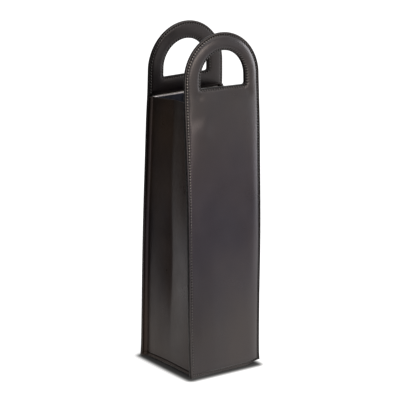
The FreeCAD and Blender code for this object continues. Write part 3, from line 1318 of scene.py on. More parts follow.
    def sewn_in(self, across: Points, height: Points) -> Points:
        """Depth of the awl holes and of the puckers round them, both less towards the foot.

        Args:
            across: Place across the panel.
            height: Height on the flat panel.

        Returns:
            Depth in metres.
        """
        deep = self.pit_depth * between(0.35, 1.0, smooth_step(height, *self.pit_heights))
        taut = 1.0 - smooth_step(self.sizes.mouth_height - height, *self.pucker_drop)
        pucker = self.pucker * between(0.08, 1.0, taut)
        return (deep * self.outline.pits(across, height, self.pit_width, self.pit_reach)
                + pucker * self.outline.pits(across, height, self.pucker_width, self.pucker_reach))

    def relief(self, across: Points, height: Points) -> Points:
        """Height of the outer leather's surface above the rim's middle plane.

        Args:
            across: Place across the panel.
            height: Height on the flat panel.

        Returns:
            Distance outwards in metres.
        """
        s, inset = self.sizes, self.outline.seam_inset
        outer = self.outline.edge_distance(across, height)
        hole = self.outline.hole_distance(across, height)
        inside = soft_min(outer, hole, self.merge) - inset
        on_handle = smooth_step(height - s.mouth_height, -self.handle_blend, self.handle_blend)
        rim = self.rim_out * self.edge_rise(outer, hole)
        grooves = self.groove * (bell(outer, inset, self.groove_width)
                                 + bell(hole, self.outline.hole_inset, self.groove_width))
        crown = self.crown * (1.0 - (across / s.half_width) ** 2) * (1.0 - on_handle)
        soft = (crown + self.waves(across, height)) * smooth_step(inside, 0.0, self.field_rise)
        dents = sum(dent.shape(across, height) for dent in self.dents)
        dents = dents * smooth_step(inside, 0.0, self.dent_rise)
        sewn = grooves + self.sewn_in(across, height)
        return rim - sewn + self.padding(across, height, on_handle) + soft + dents

    def inner_relief(self, across: Points, height: Points, outside: Points) -> Points:
        """Height of the leather's inner surface, hollow over the padding.

        Args:
            across: Place across the panel.
            height: Height on the flat panel.
            outside: Height of the outer surface.

        Returns:
            Distance outwards in metres.
        """
        outer, hole = self.outline.edge_distance(across, height), self.outline.hole_distance(across, height)
        hollow = smooth_step(np.minimum(outer, hole), *self.hollow_edge)
        return -self.rim_in + hollow * (outside - self.skin + self.rim_in)

    def seam_shade(self, outline: ArchOutline, across: Points, height: Points) -> tuple[Points, Points]:
        """How dark a point is painted for seams, paint and painted shade, and how far it is on a paler rim.

        Args:
            outline: Outline of the sheet.
            across: Place across the panel.
            height: Height on the flat panel.

        Returns:
            Shares from 0 to 1 for the dark and for the rim.
        """
        outer, hole = outline.edge_distance(across, height), outline.hole_distance(across, height)
        # Darker along the seam lines
        groove = np.maximum(bell(outer, outline.seam_inset, self.groove_line),
                            bell(hole, outline.hole_inset, self.hole_line))
        # Awl holes painted dark: painted shade inside the holes, less towards the foot
        sewn = between(0.25, 1.0, smooth_step(height, *self.hole_heights))
        holes = sewn * np.minimum(1.3 * outline.pits(across, height, self.pit_width, self.pit_width), 1.0)
        # Painted shade on the right rim, wider higher up
        right = smooth_step(across / self.sizes.half_width, 0.55, 0.9)
        wide = self.shade_widening * smooth_step(height, *self.shade_heights)
        shaded = right * (1.0 - smooth_step(outer - wide, *self.shade_edge))
        # Edge paint round the hand hole, with painted shade over its rounded edge
        hole_paint_and_shade = self.hole_dark * (1.0 - smooth_step(hole, *self.hole_paint_and_shade))
        # Edge paint on the cut edges, partly painted shade, lighter towards the foot
        edge_paint_and_shade = between(0.6, 0.95, smooth_step(height, *self.edge_shade_heights))
        edge_paint_and_shade = edge_paint_and_shade * (1.0 - smooth_step(outer, *self.edge_paint_and_shade))
        dark = np.maximum.reduce([self.groove_dark * groove, holes, self.shade_dark * shaded, hole_paint_and_shade,
                                  edge_paint_and_shade])
        # Rims paler for wear and a painted highlight, but not under the right rim's painted shade
        return dark, (1.0 - smooth_step(outer, *self.rim_wear_and_highlight)) * (1.0 - shaded)

    def closed_piece(self, name: str, flat: Points, faces: Points, outs: Sequence[Points | float],
                     material: Material) -> Piece:
        """Makes a closed piece between two distances from the rim's middle plane.

        Args:
            name: Name after the panel's side.
            flat: Points as across and height.
            faces: Its faces, anticlockwise seen from the first distance's side.
            outs: Distances outwards of the shown and the hidden face.
            material: Its finish.

        Returns:
            The piece.
        """
        shown, hidden = (self.place(*flat.T, out) for out in outs)
        return add_piece(self.named(name), *close_sheet(shown, hidden, faces), material)

    def build_leather(self) -> Piece:
        """Makes the outer leather of the panel and its handle as one skin.

        Returns:
            The piece.
        """
        flat, faces = self.outline.triangulate()
        outside = self.relief(*flat.T)
        inside = self.inner_relief(*flat.T, outside)
        piece = self.closed_piece("leather", flat, faces, (outside, inside), self.finishes.panel)
        dark, rim = self.seam_shade(self.outline, *flat.T)
        # Inner face painted dark so the cut edges show edge paint and painted shade, darker on the front
        # panel
        unseen = np.full_like(dark, 0.9 if self.side is Side.FRONT else 0.4)
        set_shade_and_wear(piece, np.concatenate([dark, unseen]), np.concatenate([rim, np.zeros_like(rim)]))
        declare(piece, Slot.LEATHER, self.named("panel_leather"), self.named("handle_leather"))
        self.bend(piece)
        return piece

    def facing_relief(self, across: Points, height: Points) -> Points:
        """Distance of the facing's shown surface inwards from the rim's middle plane.

        Args:
            across: Place across the panel.
            height: Height on the flat panel.

        Returns:
            Distance inwards in metres.
        """
        outline = self.facing_outline
        outer, hole = outline.edge_distance(across, height), outline.hole_distance(across, height)
        rounded = self.facing * self.edge_rise(outer, hole)
        grooves = sum(bell(away, outline.seam_inset, self.groove_width) for away in (outer, hole))
        inside = soft_min(outer, hole, self.merge) - outline.seam_inset
        padding = self.facing_swell * (1.0 - np.exp(-np.maximum(inside, 0.0) / self.facing_soft))
        pits = self.pit_depth * outline.pits(across, height, self.pit_width, self.pit_width)
        return self.rim_in + self.facing_gap + rounded - 0.8 * self.groove * grooves - pits + padding

    def build_facing(self) -> Piece:
        """Makes the leather facing on the handle's inner side.

        Returns:
            The piece.
        """
        flat, faces = self.facing_outline.triangulate()
        outs = -self.facing_relief(*flat.T), -self.rim_in - self.facing_gap
        piece = self.closed_piece("facing", flat, faces[:, ::-1], outs, self.finishes.facing)
        dark, rim = self.seam_shade(self.facing_outline, *flat.T)
        # Inner face painted dark so the cut edges show edge paint and painted shade
        unseen = np.ones_like(dark)
        set_shade_and_wear(piece, np.concatenate([dark, unseen]), np.concatenate([rim, np.zeros_like(rim)]))
        declare(piece, Slot.LEATHER, self.named("handle_facing"))
        self.bend(piece)
        return piece

    def build_seams(self) -> Piece:
        """Sews the panel's edge, its hand hole and the facing.

        Returns:
            The stitches.
        """
        hole = self.outline.hole_seam()
        rows = [self.seam_row(seam, self.relief(*seam.T).max(), 1.0)
                for seam in (self.outline.edge_seam(), hole)]
        rows += [self.seam_row(seam, -self.facing_relief(*seam.T).max(), -1.0)
                 for seam in (self.facing_outline.edge_seam(), hole)]
        piece = self.stitcher.sew(self.named("seams"), rows)
        declare(piece, Slot.THREAD)
        self.bend(piece)
        return piece

    def seam_row(self, seam: Points, surface: float, way: float) -> SeamRow:
        """Lays a row of stitches on the panel's surface.

        Args:
            seam: Path as across and height.
            surface: Distance of the groove's floor outwards.
            way: 1 for the outer face, -1 for the inner face.

        Returns:
            The row.
        """
        count = self.outline.gap_count(seam)
        closed = np.allclose(seam[0], seam[-1])
        at = np.arange(count if closed else count + 1) / count * run_along(seam)[-1]
        across, height = points_at(seam, at).T
        path = self.place(across, height, surface + way * self.thread_rise)
        outward = np.zeros_like(path)
        outward[:, 1] = way * self.side.value
        return SeamRow(path, outward, self.highlight_and_wear(across, height, way))

    def highlight_and_wear(self, across: Points, height: Points, way: float) -> Points:
        """How much paler the thread is painted, a painted highlight, most along the upper left edge.

        Args:
            across: Place across the panel.
            height: Height on the flat panel.
            way: 1 for the outer face, -1 for the inner face.

        Returns:
            A share for each point.
        """
        share = across / self.sizes.half_width
        at_edge = 1.0 - smooth_step(self.outline.edge_distance(across, height), *self.highlight_edge)
        left = smooth_step(-share, -0.1, 0.7)
        low = smooth_step(self.sizes.mouth_height - height, *self.highlight_drop)
        jamb = smooth_step(share, 0.5, 0.65) * (1.0 - at_edge)
        outside = at_edge * left * (1.0 - 0.85 * low) + 0.15 * jamb
        return 0.06 + 0.94 * outside * max(way, 0.0)

    def bend(self, piece: Piece) -> None:
        """Bakes a piece's placement into its points.

        Args:
            piece: The piece.
        """
        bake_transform(piece)

    def build_lining(self) -> Piece:
        """Makes the striped lining of the wall, with a rolled hem at the mouth.

        Returns:
            The piece, which rides on the carrier.
        """
        low, top = self.lining_foot, self.sizes.mouth_height - self.hem_drop
        profile = hem_profile(low, top - self.hem_roll, self.hem_roll, self.hem_lap - self.hem_roll,
                              tuple(top - drop for drop in self.hem_lean))
        rise, stand = profile.T
        across = np.linspace(-self.lining_half, self.lining_half, self.cloth_columns)
        u, z = np.meshgrid(across, rise)
        folds = np.sin(math.tau * u / self.cloth_fold + 2.0 * np.sin(z / self.cloth_sway))
        slack = self.cloth_slack * (1.0 + folds) * smooth_step(z, low, low + self.slack_rise)
        slack = slack * (1.0 - smooth_step(z, *(top - drop for drop in self.slack_end)))
        grid = self.place(u, z, -(self.rim_in + self.cloth) - stand[:, None] - slack)
        piece = thick_grid(self.named("panel_cloth"), grid, self.cloth, self.finishes.lining, turned=True)
        run = run_along(profile)
        set_uv(piece, across, run - run[np.argmax(rise)])
        declare(piece, Slot.LINING, self.named("panel_lining"))
        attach(piece, "carrier")
        return piece

    def pad_top(self, across: Points, height: Points) -> Points:
        """Height of the padding under the leather's hollow."""
        under = self.inner_relief(across, height, self.relief(across, height))
        return np.maximum(under - self.pad_gap, self.pad_least)

    def build_panel_filling(self) -> list[Piece]:
        """Makes the stiffener board and the padding of the wall, bowed as the wall is.

        Returns:
            The board and the pad, which ride on the carrier.
        """
        low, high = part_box(self.named("panel_board"))
        across, height = np.meshgrid(np.linspace(low.x, high.x, 30), np.linspace(low.z, high.z, 80))
        middle = self.place(across, height, self.board_top - self.board / 2.0)
        board = thick_grid(self.named("panel_stiffener"), middle, self.board, self.finishes.board)
        flat = np.column_stack([across.ravel(), height.ravel()])
        pad = self.closed_piece("panel_pad", flat, grid_faces(*across.shape),
                                (self.pad_top(*flat.T), self.pad_foot), self.finishes.foam)
        for piece in (board, pad):
            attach(piece, "carrier")
        return self.declare_filling(board, pad, "panel")

    def build_handle_filling(self) -> list[Piece]:
        """Makes the stiffener board and the padding of the handle.

        Returns:
            The board and the pad.
        """
        s = self.sizes
        low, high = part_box(self.named("handle_board"))
        inset = s.half_width - high.x
        inner = replace(s, half_width=high.x, apex=s.apex - inset, hole_half=s.hole_half + inset,
                        sill_height=s.sill_height - inset, sill_corner=s.sill_corner + inset)
        outline = ArchOutline(inner, bottom=low.z, rings=(0.0, 1.5), step=2.4 * MM, field_step=3.0 * MM)
        flat, faces = outline.triangulate()
        board = self.closed_piece("handle_stiffener", flat, faces,
                                  (self.board_top, self.board_top - self.board), self.finishes.board)
        pad = self.closed_piece("handle_pad", flat, faces, (self.pad_top(*flat.T), self.pad_foot),
                                self.finishes.foam)
        for piece in (board, pad):
            self.bend(piece)
        return self.declare_filling(board, pad, "handle")

    def declare_filling(self, board: Piece, pad: Piece, where: str) -> list[Piece]:
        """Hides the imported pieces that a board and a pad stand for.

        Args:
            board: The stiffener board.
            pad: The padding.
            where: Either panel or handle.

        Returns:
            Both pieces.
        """
        declare(board, Slot.BOARD, self.named(f"{where}_board"))
        declare(pad, Slot.FOAM, self.named(f"{where}_foam"))
        return [board, pad]

    def build(self) -> list[Piece]:
        """Builds every piece of the panel and its handle."""
        return [self.build_leather(), self.build_facing(), self.build_lining(), self.build_seams(),
                *self.build_panel_filling(), *self.build_handle_filling()]


# Gussets


@dataclass
class Gusset:
    """A folded side wall with its turned-out flanges, its lining and its seams.

    The fields that end in share are shares of the mouth's height.
    """

    hand: Hand
    sizes: CarrierSizes
    finishes: Finishes
    stitcher: Stitcher
    web: float = 45.0 * MM
    web_points: int = 61
    leather: float = 1.0 * MM
    flange: float = 2.6 * MM
    flange_points: int = 6
    thinned_points: int = 5
    tip_gap: float = 0.1 * MM
    panel_back: float = 0.65 * MM
    bend: float = 4.2 * MM
    fold_middle: float = 3.8 * MM
    fold_mouth: float = 3.6 * MM
    crease_place: float = -0.04
    crease_soft: float = 0.05
    swell: float = 0.7 * MM
    wave: float = 0.35 * MM
    wave_length: float = 37 * MM
    foot_crease: float = 0.7 * MM
    foot_crease_height: float = 4.6 * MM
    foot_crease_width: float = 0.9 * MM
    foot_spread: float = 1.1 * MM
    foot_spread_height: float = 2.6 * MM
    foot_arch: float = 1.6 * MM
    foot_arch_spread: float = 20 * MM
    corner_flare: float = 0.7 * MM
    corner_spread: float = 8 * MM
    seam_inset: float = 3.2 * MM
    stitch: float = 3.2 * MM
    first_stitch: float = 4 * MM
    last_stitch: float = 3 * MM
    thread_rise: float = 0.12 * MM
    thread_wear: float = 0.1
    front_rise: float = 2.0 * MM
    back_rise: float = -3.5 * MM
    right_rise: float = 2.0 * MM
    rows: tuple[int, int, int] = (16, 110, 7)
    lowest_share: float = 0.001
    foot_share: float = 0.03
    rim_share: float = 0.992
    round_share: float = 0.9965
    hem_share: Pair = (0.962, 0.966)
    hem: float = 0.45 * MM
    hem_roll: float = 1.0 * MM
    # Edge paint and painted shade on the front flange, painted shade on the back flange and its bend
    front_edge_paint_and_shade: Pair = (0.95, 0.75)
    back_painted_shade: tuple[float, ...] = (0.3, 0.6, *[0.8] * 7)
    crease_shade_line: Pair = (4.4 * MM, 0.7 * MM)
    crease_shade: float = 0.6
    rim_wear_and_highlight: float = 1.6 * MM
    cloth: float = 0.45 * MM
    cloth_inside: float = 1.0 * MM
    cloth_width: float = 0.965
    cloth_foot_share: float = 0.02
    cloth_crest_share: float = 0.99
    cloth_lap_share: float = 0.025
    cloth_lean_share: Pair = (0.93, 0.985)
    measured_row: int = 60
    cloth_measured_row: int = 45

    def named(self, name: str) -> str:
        """Puts the gusset's hand before a name."""
        return f"{self.hand.word}_{name}"

    def fold_depth(self, height: Points) -> Points:
        """How far the middle of the web is folded in.

        Args:
            height: Height above the floor.

        Returns:
            Distance inwards in metres.
        """
        share = height / self.sizes.mouth_height
        body = np.sin(np.clip(share / 0.86, 0.0, 1.0) * math.pi) ** 2
        return self.fold_middle * body + self.fold_mouth * smooth_step(share, 0.55, 1.0)

    def web_inset(self, share: Points | float, height: float) -> Points:
        """How far the web lies inside its flat plane.

        Args:
            share: Place across the web, from -1 at the front to 1 at the back.
            height: Height above the floor.

        Returns:
            Distance inwards in metres.
        """
        slant = self.crease_place - 0.1 * (height / self.sizes.mouth_height) ** 3
        front = (share + 1.0) / (slant + 1.0)
        past = (share - slant) / (1.0 - slant)
        back = 0.5 * (1.0 - past) + 0.5 * np.exp(-np.maximum(past, -0.5) / 0.3) * (1.0 - past)
        crease = np.maximum(soft_min(front, back, self.crease_soft), 0.0)
        round_side = self.swell * (np.cos(share * math.pi) * 0.5 - 0.5)
        waves = self.wave * np.sin(height / self.wave_length + 2.4 * share)
        foot = self.foot_crease * bell(height, self.foot_crease_height, self.foot_crease_width)
        foot = foot - self.foot_spread * np.exp(-height / self.foot_spread_height)
        return self.fold_depth(height) * crease + (round_side + waves) * (1.0 - share**2) + foot

    def section(self, inside: float) -> tuple[Points, Points, Points]:
        """Lays out the section from the front flange's tip round to the back one's.

        Args:
            inside: How far the section lies inside the leather's middle.

        Returns:
            Sideways places of the flange and its bend, their places from the seam inwards, and the
            shares across the web.
        """
        root = self.web + self.bend
        tip = np.linspace(self.sizes.half_width - self.tip_gap, root, self.flange_points)
        turn = np.linspace(0.0, math.pi / 2, 6)[1:]
        side = np.concatenate([tip, root - self.bend * np.sin(turn)]) - inside
        deep = np.concatenate([np.zeros_like(tip), self.bend - self.bend * np.cos(turn)])
        return side, deep, np.linspace(-1.0, 1.0, self.web_points)[1:-1]

    def top(self, y: Points) -> Points:
        """Height of the gusset's top edge, higher at the front.

        Args:
            y: Place from front to back.

        Returns:
            Height above the floor.
        """
        share = np.clip(0.5 + y / (2.0 * self.sizes.mouth_depth), 0.0, 1.0)
        back = self.back_rise + (self.right_rise if self.hand is Hand.RIGHT else 0.0)
        return self.sizes.mouth_height + between(self.front_rise, back, share)

    def surface(self, heights: Points, inside: float = 0.0) -> Points:
        """Points of the gusset's middle surface, from front to back and from the floor up.

        Args:
            heights: Heights of the rows as shares of the top edge's height.
            inside: How far inside the leather's middle the surface lies.

        Returns:
            A grid of points.
        """
        s = self.sizes
        side, deep, share = self.section(inside)
        on_bend = np.clip((s.half_width - side) / (s.half_width - self.web), 0.0, 1.0) ** 2
        rows = []
        for part in heights:
            height = part * s.mouth_height
            seam = s.depth(height) - self.panel_back - self.flange / 2.0
            web = self.web - inside - self.web_inset(share, height)
            near = side - self.web_inset(1.0, height) * on_bend
            x = np.concatenate([near, web, near[::-1]])
            y = np.concatenate([deep - seam, share * (seam - self.bend), (seam - deep)[::-1]])
            flare = self.corner_flare * math.exp(-height / self.corner_spread)
            flare = flare * smooth_step(x, self.web, s.half_width)
            arch = self.foot_arch * math.exp(-height / self.foot_arch_spread)
            z = part * self.top(y) + arch * (1 - (y / s.floor_depth) ** 2)
            rows.append(np.column_stack([self.hand.value * (x + flare), y, z]))
        return np.stack(rows)

    def build_leather(self) -> Piece:
        """Makes the folded leather with its flanges.

        Returns:
            The piece, which rides on the carrier.
        """
        mouth = self.sizes.mouth_height
        foot_rows, wall_rows, rim_rows = self.rows
        heights = np.concatenate([np.linspace(self.lowest_share, self.foot_share, foot_rows)[:-1],
                                  np.linspace(self.foot_share, self.rim_share, wall_rows),
                                  np.linspace(self.rim_share, 1.0, rim_rows)[1:]])
        grid = self.surface(heights)
        side, _, share = self.section(0.0)
        flange = np.concatenate([np.full(len(side) - self.thinned_points, self.flange),
                                 np.linspace(self.flange, self.leather, self.thinned_points)])
        across = np.concatenate([flange, np.full(len(share), self.leather), flange[::-1]])
        above = np.clip((heights - self.round_share) / (1.0 - self.round_share), 0.0, 1.0)
        hem = self.hem * smooth_step(heights, *self.hem_share) * np.sqrt(1.0 - above**2)
        thickness = np.outer(np.sqrt(1.0 - 0.95 * above**2), across) + hem[:, None]
        piece = thick_grid(self.named("gusset"), self.sizes.settle(grid), thickness, self.finishes.gusset,
                           turned=self.hand is Hand.LEFT)
        # Back flange and its bend: painted shade from the middle height up.
        # Front flange tip: edge paint and painted shade, lighter towards the foot.
        front, back = np.zeros(grid.shape[1]), np.zeros(grid.shape[1])
        front[:len(self.front_edge_paint_and_shade)] = self.front_edge_paint_and_shade
        back[-len(self.back_painted_shade):] = self.back_painted_shade
        painted = np.maximum(np.outer(between(0.6, 1.0, smooth_step(heights, 0.06, 0.45)), front),
                             np.outer(smooth_step(heights, 0.45, 0.72), back)).ravel()
        z = np.repeat(heights, grid.shape[1]) * mouth
        # Painted shade line along the crease at the foot
        seam = np.maximum(self.crease_shade * bell(z, *self.crease_shade_line), painted)
        # Top edge painted paler, for wear and a painted highlight
        set_shade_and_wear(piece, np.tile(seam, 2), np.tile(smooth_step(z, mouth - self.rim_wear_and_highlight, mouth), 2))
        declare(piece, Slot.GUSSET_LEATHER, self.named("gusset_leather"))
        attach(piece, "carrier")
        return piece

    def build_lining(self) -> Piece:
        """Makes the striped lining of the gusset, with a rolled hem at the mouth.

        Returns:
            The piece, which rides on the carrier.
        """
        mouth = self.sizes.mouth_height
        lean_start, lean_end = self.cloth_lean_share
        profile = hem_profile(self.cloth_foot_share * mouth, self.cloth_crest_share * mouth, self.hem_roll,
                              self.cloth_lap_share * mouth, (lean_start * mouth, lean_end * mouth))
        rise, stand = profile.T
        flange = len(self.section(self.cloth_inside)[0]) - 1
        grid = self.surface(rise / mouth, self.cloth_inside)[:, flange:-flange]
        grid[..., 0] -= self.hand.value * stand[:, None]
        grid[..., 1] *= self.cloth_width
        piece = thick_grid(self.named("gusset_cloth"), self.sizes.settle(grid), self.cloth,
                           self.finishes.lining, turned=self.hand is Hand.RIGHT)
        across, run = run_along(grid[self.cloth_measured_row]), run_along(profile)
        set_uv(piece, across, run - run[np.argmax(rise)])
        declare(piece, Slot.LINING, self.named("gusset_lining"))
        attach(piece, "carrier")
        return piece

    def build_seams(self) -> Piece:
        """Sews the flanges on the side that faces the fold.

        Returns:
            The stitches, which ride on the carrier.
        """
        s = self.sizes
        height = np.arange(self.first_stitch, s.mouth_height - self.last_stitch, self.stitch)
        x = np.full_like(height, self.hand.value * (s.half_width - self.seam_inset))
        rows = []
        for side in Side:
            y = side.value * (s.depth(height) - self.panel_back - self.flange - self.thread_rise)
            path = np.column_stack([x, y, height / s.mouth_height * self.top(y)])
            outward = np.zeros_like(path)
            outward[:, 1] = -side.value
            rows.append(SeamRow(s.settle(path), outward, np.full_like(height, self.thread_wear)))
        piece = self.stitcher.sew(self.named("gusset_seams"), rows)
        declare(piece, Slot.THREAD)
        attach(piece, "carrier")
        return piece

    def build(self) -> list[Piece]:
        """Builds every piece of the gusset."""
        return [self.build_leather(), self.build_lining(), self.build_seams()]


# Base


@dataclass
class Base:
    """The turned-down base leather, the stiffener board on it and the cloth that covers the board."""

    sizes: CarrierSizes
    finishes: Finishes
    leather: float = 1.2 * MM
    turn: float = 1.6 * MM
    floor_gap: float = 0.3 * MM
    sag: float = 0.1 * MM
    sag_lengths: Pair = (23 * MM, 29 * MM)
    board_points: int = 30
    cloth: float = 0.45 * MM
    cloth_inset: float = 0.4 * MM
    cloth_points: int = 40
    cloth_ripple: float = 0.15 * MM
    ripple_lengths: Pair = (9 * MM, 17 * MM)
    beyond_hem: float = 1.0

    def build_leather(self) -> Piece:
        """Makes the base leather, whose edges turn down to the floor.

        Returns:
            The piece, which rides on the carrier.
        """
        low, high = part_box("base_leather")
        top = high.z - self.leather / 2.0
        drop = top - low.z - self.floor_gap
        places, falls = zip(*(self.turned(half - self.leather / 2.0, drop) for half in (high.x, high.y)))
        x, y = np.meshgrid(*places)
        fall = np.maximum(*np.meshgrid(*falls))
        waves = np.sin(x / self.sag_lengths[0]) * np.sin(y / self.sag_lengths[1])
        sag = self.sag * np.abs(waves) * (fall == 0.0)
        grid = np.stack([x, y, top - fall - sag], axis=-1)
        piece = thick_grid("base_tray", self.sizes.settle(grid), self.leather, self.finishes.gusset)
        unworn = np.zeros(len(piece.data.vertices))
        set_shade_and_wear(piece, unworn, unworn)
        declare(piece, Slot.GUSSET_LEATHER, "base_leather")
        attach(piece, "carrier")
        return piece

    def turned(self, half: float, drop: float) -> tuple[Points, Points]:
        """Places along a strip that turns down at both ends.

        Args:
            half: Half width of the strip's outside.
            drop: How far the ends go down.

        Returns:
            Sideways places and falls.
        """
        angle = np.linspace(0.0, math.pi / 2, 6)
        flat = np.linspace(0.0, half - self.turn, 14)[:-1]
        down = np.linspace(self.turn, drop, 5)[1:]
        bent = half - self.turn + self.turn * np.sin(angle)
        place = np.concatenate([flat, bent, np.full_like(down, half)])
        fall = np.concatenate([np.zeros_like(flat), self.turn - self.turn * np.cos(angle), down])
        return np.concatenate([-place[:0:-1], place]), np.concatenate([fall[:0:-1], fall])

    def build_lining(self) -> Piece:
        """Makes the striped cloth on the base board.

        Returns:
            The piece, which rides on the carrier.
        """
        low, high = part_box("base_lining")
        across = np.linspace(low.x + self.cloth_inset, high.x - self.cloth_inset, self.cloth_points)
        along = np.linspace(low.y + self.cloth_inset, high.y - self.cloth_inset, self.cloth_points)
        x, y = np.meshgrid(across, along)
        short, long = self.ripple_lengths
        ripple = self.cloth_ripple * (1.0 + np.sin(x / short + np.sin(y / long)))
        grid = np.stack([x, y, (low.z + high.z) / 2.0 + ripple], axis=-1)
        piece = thick_grid("base_cloth", self.sizes.settle(grid), self.cloth, self.finishes.lining)
        set_uv(piece, across, along + self.beyond_hem)
        declare(piece, Slot.LINING, "base_lining")
        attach(piece, "carrier")
        return piece

    def build_board(self) -> Piece:
        """Makes the base board, which settles with the walls.

        Returns:
            The piece, which rides on the carrier.
        """
        low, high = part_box("base_board")
        x, y = np.meshgrid(*(np.linspace(low[i], high[i], self.board_points) for i in (0, 1)))
        grid = np.stack([x, y, np.full_like(x, (low.z + high.z) / 2.0)], axis=-1)
        piece = thick_grid("base_stiffener", self.sizes.settle(grid), high.z - low.z, self.finishes.board)
        declare(piece, Slot.BOARD, "base_board")
        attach(piece, "carrier")
        return piece

    def build(self) -> list[Piece]:
        """Builds every piece of the base."""
        return [self.build_leather(), self.build_board(), self.build_lining()]


# Studio


@dataclass
class Studio:
    """White floor, a dark card out of sight, soft light and the photograph's camera."""

    azimuth: float = math.radians(-35.79)
    elevation: float = math.radians(16.12)
    distance: float = 2.5856
    target_height: float = 189.2 * MM
    lens: float = 205.44
    sensor: float = 36.0
    farthest: float = 20.0
    aim: Pair = (-2.1 * MM, 1.36 * MM)
    roll: float = math.radians(0.7)
    sky: Pair = (0.45, 1.0)
    floor_half: float = 3.0
    floor_glow: float = 0.85
    floor_tone: float = 0.6
    # Painted shadow round the carrier's foot
    painted_shadow_tone: float = 0.09
    painted_shadow_reach: float = 16.0 * MM
    footprint: Pair = (45.2 * MM, 47.3 * MM)
    foot_middle: Pair = (-3.2 * MM, -3.2 * MM)
    # Spots where the floor's glow is dimmed for reflections only, a painted reflection
    painted_dim_places: tuple[Pair, ...] = ((0.5, -0.82), (-0.12, -0.42), (-0.1, -0.85), (-0.35, -0.5))
    painted_dim_reaches: tuple[Pair, ...] = ((0.3, 0.58), (0.1, 0.36), (0.28, 0.5), (0.2, 0.36))
    dim_share: float = 0.08
    card_x: float = -0.23
    card_y: Pair = (0.045, 1.1)
    card_top: float = 1.2
    card_fade: Pair = (0.05, 0.24)
    card_front: Pair = (0.1, 0.2)
    card_tones: Pair = (0.27, 0.035)
    light_aim: float = 0.2

    def build(self) -> None:
        """Sets up the floor, the card, the light and the camera."""
        self.build_floor()
        self.build_card()
        self.build_world()
        self.build_lights()
        self.build_camera()

    def clear_of_painted_shadow(self, wiring: Wiring) -> Socket:
        """How clear a point of the floor is of the painted shadow round the carrier's foot.

        Args:
            wiring: Nodes of the floor.

        Returns:
            A share, 0 at the foot and 1 beyond the painted shadow's reach.
        """
        place = wiring.vector("SUBTRACT", wiring.place(), (*self.foot_middle, 0.0))
        beyond = wiring.vector("SUBTRACT", wiring.vector("ABSOLUTE", place), (*self.footprint, 0.0))
        away = wiring.length(wiring.vector("MAXIMUM", beyond, (0.0, 0.0, 0.0)))
        return wiring.span(away, (0.0, 1.0), (0.0, self.painted_shadow_reach), soft=True)

    def floor_light(self, wiring: Wiring) -> Socket:
        """The floor's glow: a painted shadow at the foot for the camera, painted dim spots for reflections.

        Args:
            wiring: Nodes of the floor.

        Returns:
            The glow's strength.
        """
        place = wiring.place()
        glows = (self.dim_share * self.floor_glow, self.floor_glow)
        lights = []
        # Painted reflection: the glow that reflections see is dimmed round each spot
        for spot, reach in zip(self.painted_dim_places, self.painted_dim_reaches):
            away = wiring.length(wiring.vector("SUBTRACT", place, (*spot, 0.0)))
            lights.append(wiring.span(away, glows, reach, soft=True))
        mirrored = functools.reduce(functools.partial(wiring.math, "MINIMUM"), lights)
        # Painted shadow: the glow that the camera sees fades towards the foot
        seen = wiring.span(self.clear_of_painted_shadow(wiring), (0.0, self.floor_glow), (0.0, 1.0), soft=True)
        path = wiring.add("ShaderNodeLightPath").outputs
        total = wiring.math("MULTIPLY", path["Is Camera Ray"], seen)
        for ray in ("Is Glossy Ray", "Is Transmission Ray"):
            total = wiring.math("MULTIPLY_ADD", path[ray], mirrored, total)
        return total

    def build_floor(self) -> None:
        """Makes the white floor, bright enough to vanish but for a painted shadow round the carrier's foot.
        """
        material = bpy.data.materials.new("white_floor")
        material.use_nodes = True
        wiring = Wiring(material.node_tree)
        # Painted shadow: the floor's colour darkens round the foot
        tones = (self.painted_shadow_tone, self.floor_tone)
        tone = wiring.span(self.clear_of_painted_shadow(wiring), tones, (0.0, 1.0), soft=True)
        matt = wiring.out("ShaderNodeBsdfDiffuse", "BSDF", {"Color": tone})
        glow = wiring.out("ShaderNodeEmission", "Emission",
                          {"Color": WHITE, "Strength": self.floor_light(wiring)})
        both = wiring.out("ShaderNodeAddShader", "Shader", {0: matt, 1: glow})
        wiring.add("ShaderNodeOutputMaterial", {"Surface": both})
        corners = self.floor_half * np.array([[-1, -1, 0], [1, -1, 0], [1, 1, 0], [-1, 1, 0]])
        add_piece("floor", corners, [(0, 1, 2, 3)], material)

    def build_card(self) -> None:
        """Stands a dark card to the left, out of sight, that the gusset's leather mirrors."""
        near, far = self.card_y
        corners = np.array([(self.card_x, y, z) for y, z in ((near, 0.0), (far, 0.0), (far, self.card_top),
                                                             (near, self.card_top))])
        felt = Surface("grey_felt")
        place = felt.place()
        rising = felt.span(felt.part(place, "Z"), self.card_tones, self.card_fade, soft=True)
        front = felt.span(felt.part(place, "Y"), self.card_tones[::-1], self.card_front, soft=True)
        felt.give(Base_Color=felt.math("MINIMUM", rising, front), Roughness=1.0, Specular_IOR_Level=0.0)
        card = add_piece("dark_card", corners, [(0, 1, 2, 3)], felt.material)
        card.visible_camera = False

    def build_world(self) -> None:
        """Makes a soft even sky, which the camera, a reflection or a clear surface shows as white."""
        world = bpy.data.worlds.new("soft_sky")
        world.use_nodes = True
        bpy.context.scene.world = world
        wiring = Wiring(world.node_tree)
        path = wiring.add("ShaderNodeLightPath").outputs
        shown = [path[f"Is {ray} Ray"] for ray in ("Camera", "Glossy", "Transmission")]
        seen = functools.reduce(functools.partial(wiring.math, "MAXIMUM"), shown)
        strength = wiring.span(seen, self.sky, (0.0, 1.0))
        sky = wiring.out("ShaderNodeBackground", "Background", {"Color": WHITE, "Strength": strength})
        wiring.add("ShaderNodeOutputWorld", {"Surface": sky})

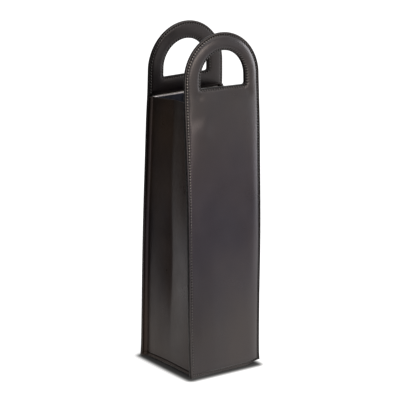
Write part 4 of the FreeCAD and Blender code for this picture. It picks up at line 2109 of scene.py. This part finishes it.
    def build_lights(self) -> None:
        """Hangs the soft boxes."""
        self.add_light("over_light", (0.2, -0.4, 1.8), 1.6, 12.0, (1.0, 1.0, 1.0))
        self.add_light("right_light", (1.5, -0.25, 0.35), 0.8, 9.0, (0.93, 0.94, 1.0))
        self.add_light("low_light", (-0.45, -1.9, 0.45), 0.6, 8.0, (1.0, 0.9, 0.8))
        self.add_light("high_light", (0.2, -1.9, 0.85), 0.8, 12.0, (1.0, 0.9, 0.8))

    def add_light(self, name: str, place: Place, size: float, power: float, colour: Colour) -> None:
        """Hangs one square soft box that looks at the carrier.

        Args:
            name: Name of the lamp.
            place: Its place in metres.
            size: Its width and height.
            power: Its power in watts.
            colour: Its colour.
        """
        lamp = bpy.data.lights.new(name, "AREA")
        lamp.shape = "SQUARE"
        lamp.size = size
        lamp.energy = power
        lamp.color = colour
        light = link_object(name, lamp)
        light.location = place
        way = Vector((0.0, 0.0, self.light_aim)) - Vector(place)
        light.rotation_euler = way.to_track_quat("-Z", "Y").to_euler()

    def build_camera(self) -> None:
        """Sets the camera at the photograph's place, a little rolled as the photograph is."""
        sin, cos = math.sin, math.cos
        back = Vector((sin(self.azimuth) * cos(self.elevation), -cos(self.azimuth) * cos(self.elevation),
                       sin(self.elevation)))
        right = Vector((0.0, 0.0, 1.0)).cross(back).normalized()
        up = back.cross(right)
        target = Vector((0.0, 0.0, self.target_height)) + right * self.aim[0] + up * self.aim[1]
        rolled_right = right * cos(self.roll) + up * sin(self.roll)
        rolled_up = up * cos(self.roll) - right * sin(self.roll)
        place = Matrix((rolled_right, rolled_up, back)).transposed().to_4x4()
        place.translation = target + back * self.distance
        lens = bpy.data.cameras.new("photo_camera")
        lens.lens = self.lens
        lens.sensor_width = self.sensor
        lens.clip_end = self.farthest
        camera = link_object("photo_camera", lens)
        camera.matrix_world = place
        bpy.context.scene.camera = camera


def main() -> None:
    """Builds the carrier piece by piece, and the studio round it."""
    logging.basicConfig(level=logging.INFO, format="%(message)s")
    bpy.context.scene.view_settings.view_transform = "Standard"
    sizes = CarrierSizes.from_frame()
    finishes = Finishes.build()
    stitcher = Stitcher(finishes.thread)
    panels = [PaddedPanel(side, sizes, finishes, stitcher) for side in Side]
    gussets = [Gusset(hand, sizes, finishes, stitcher) for hand in Hand]
    for group in (*panels, *gussets, Base(sizes, finishes)):
        for piece in group.build():
            LOG.info("%s: %d faces", piece.name, len(piece.data.polygons))
    Studio().build()


if __name__ == "__main__":
    main()
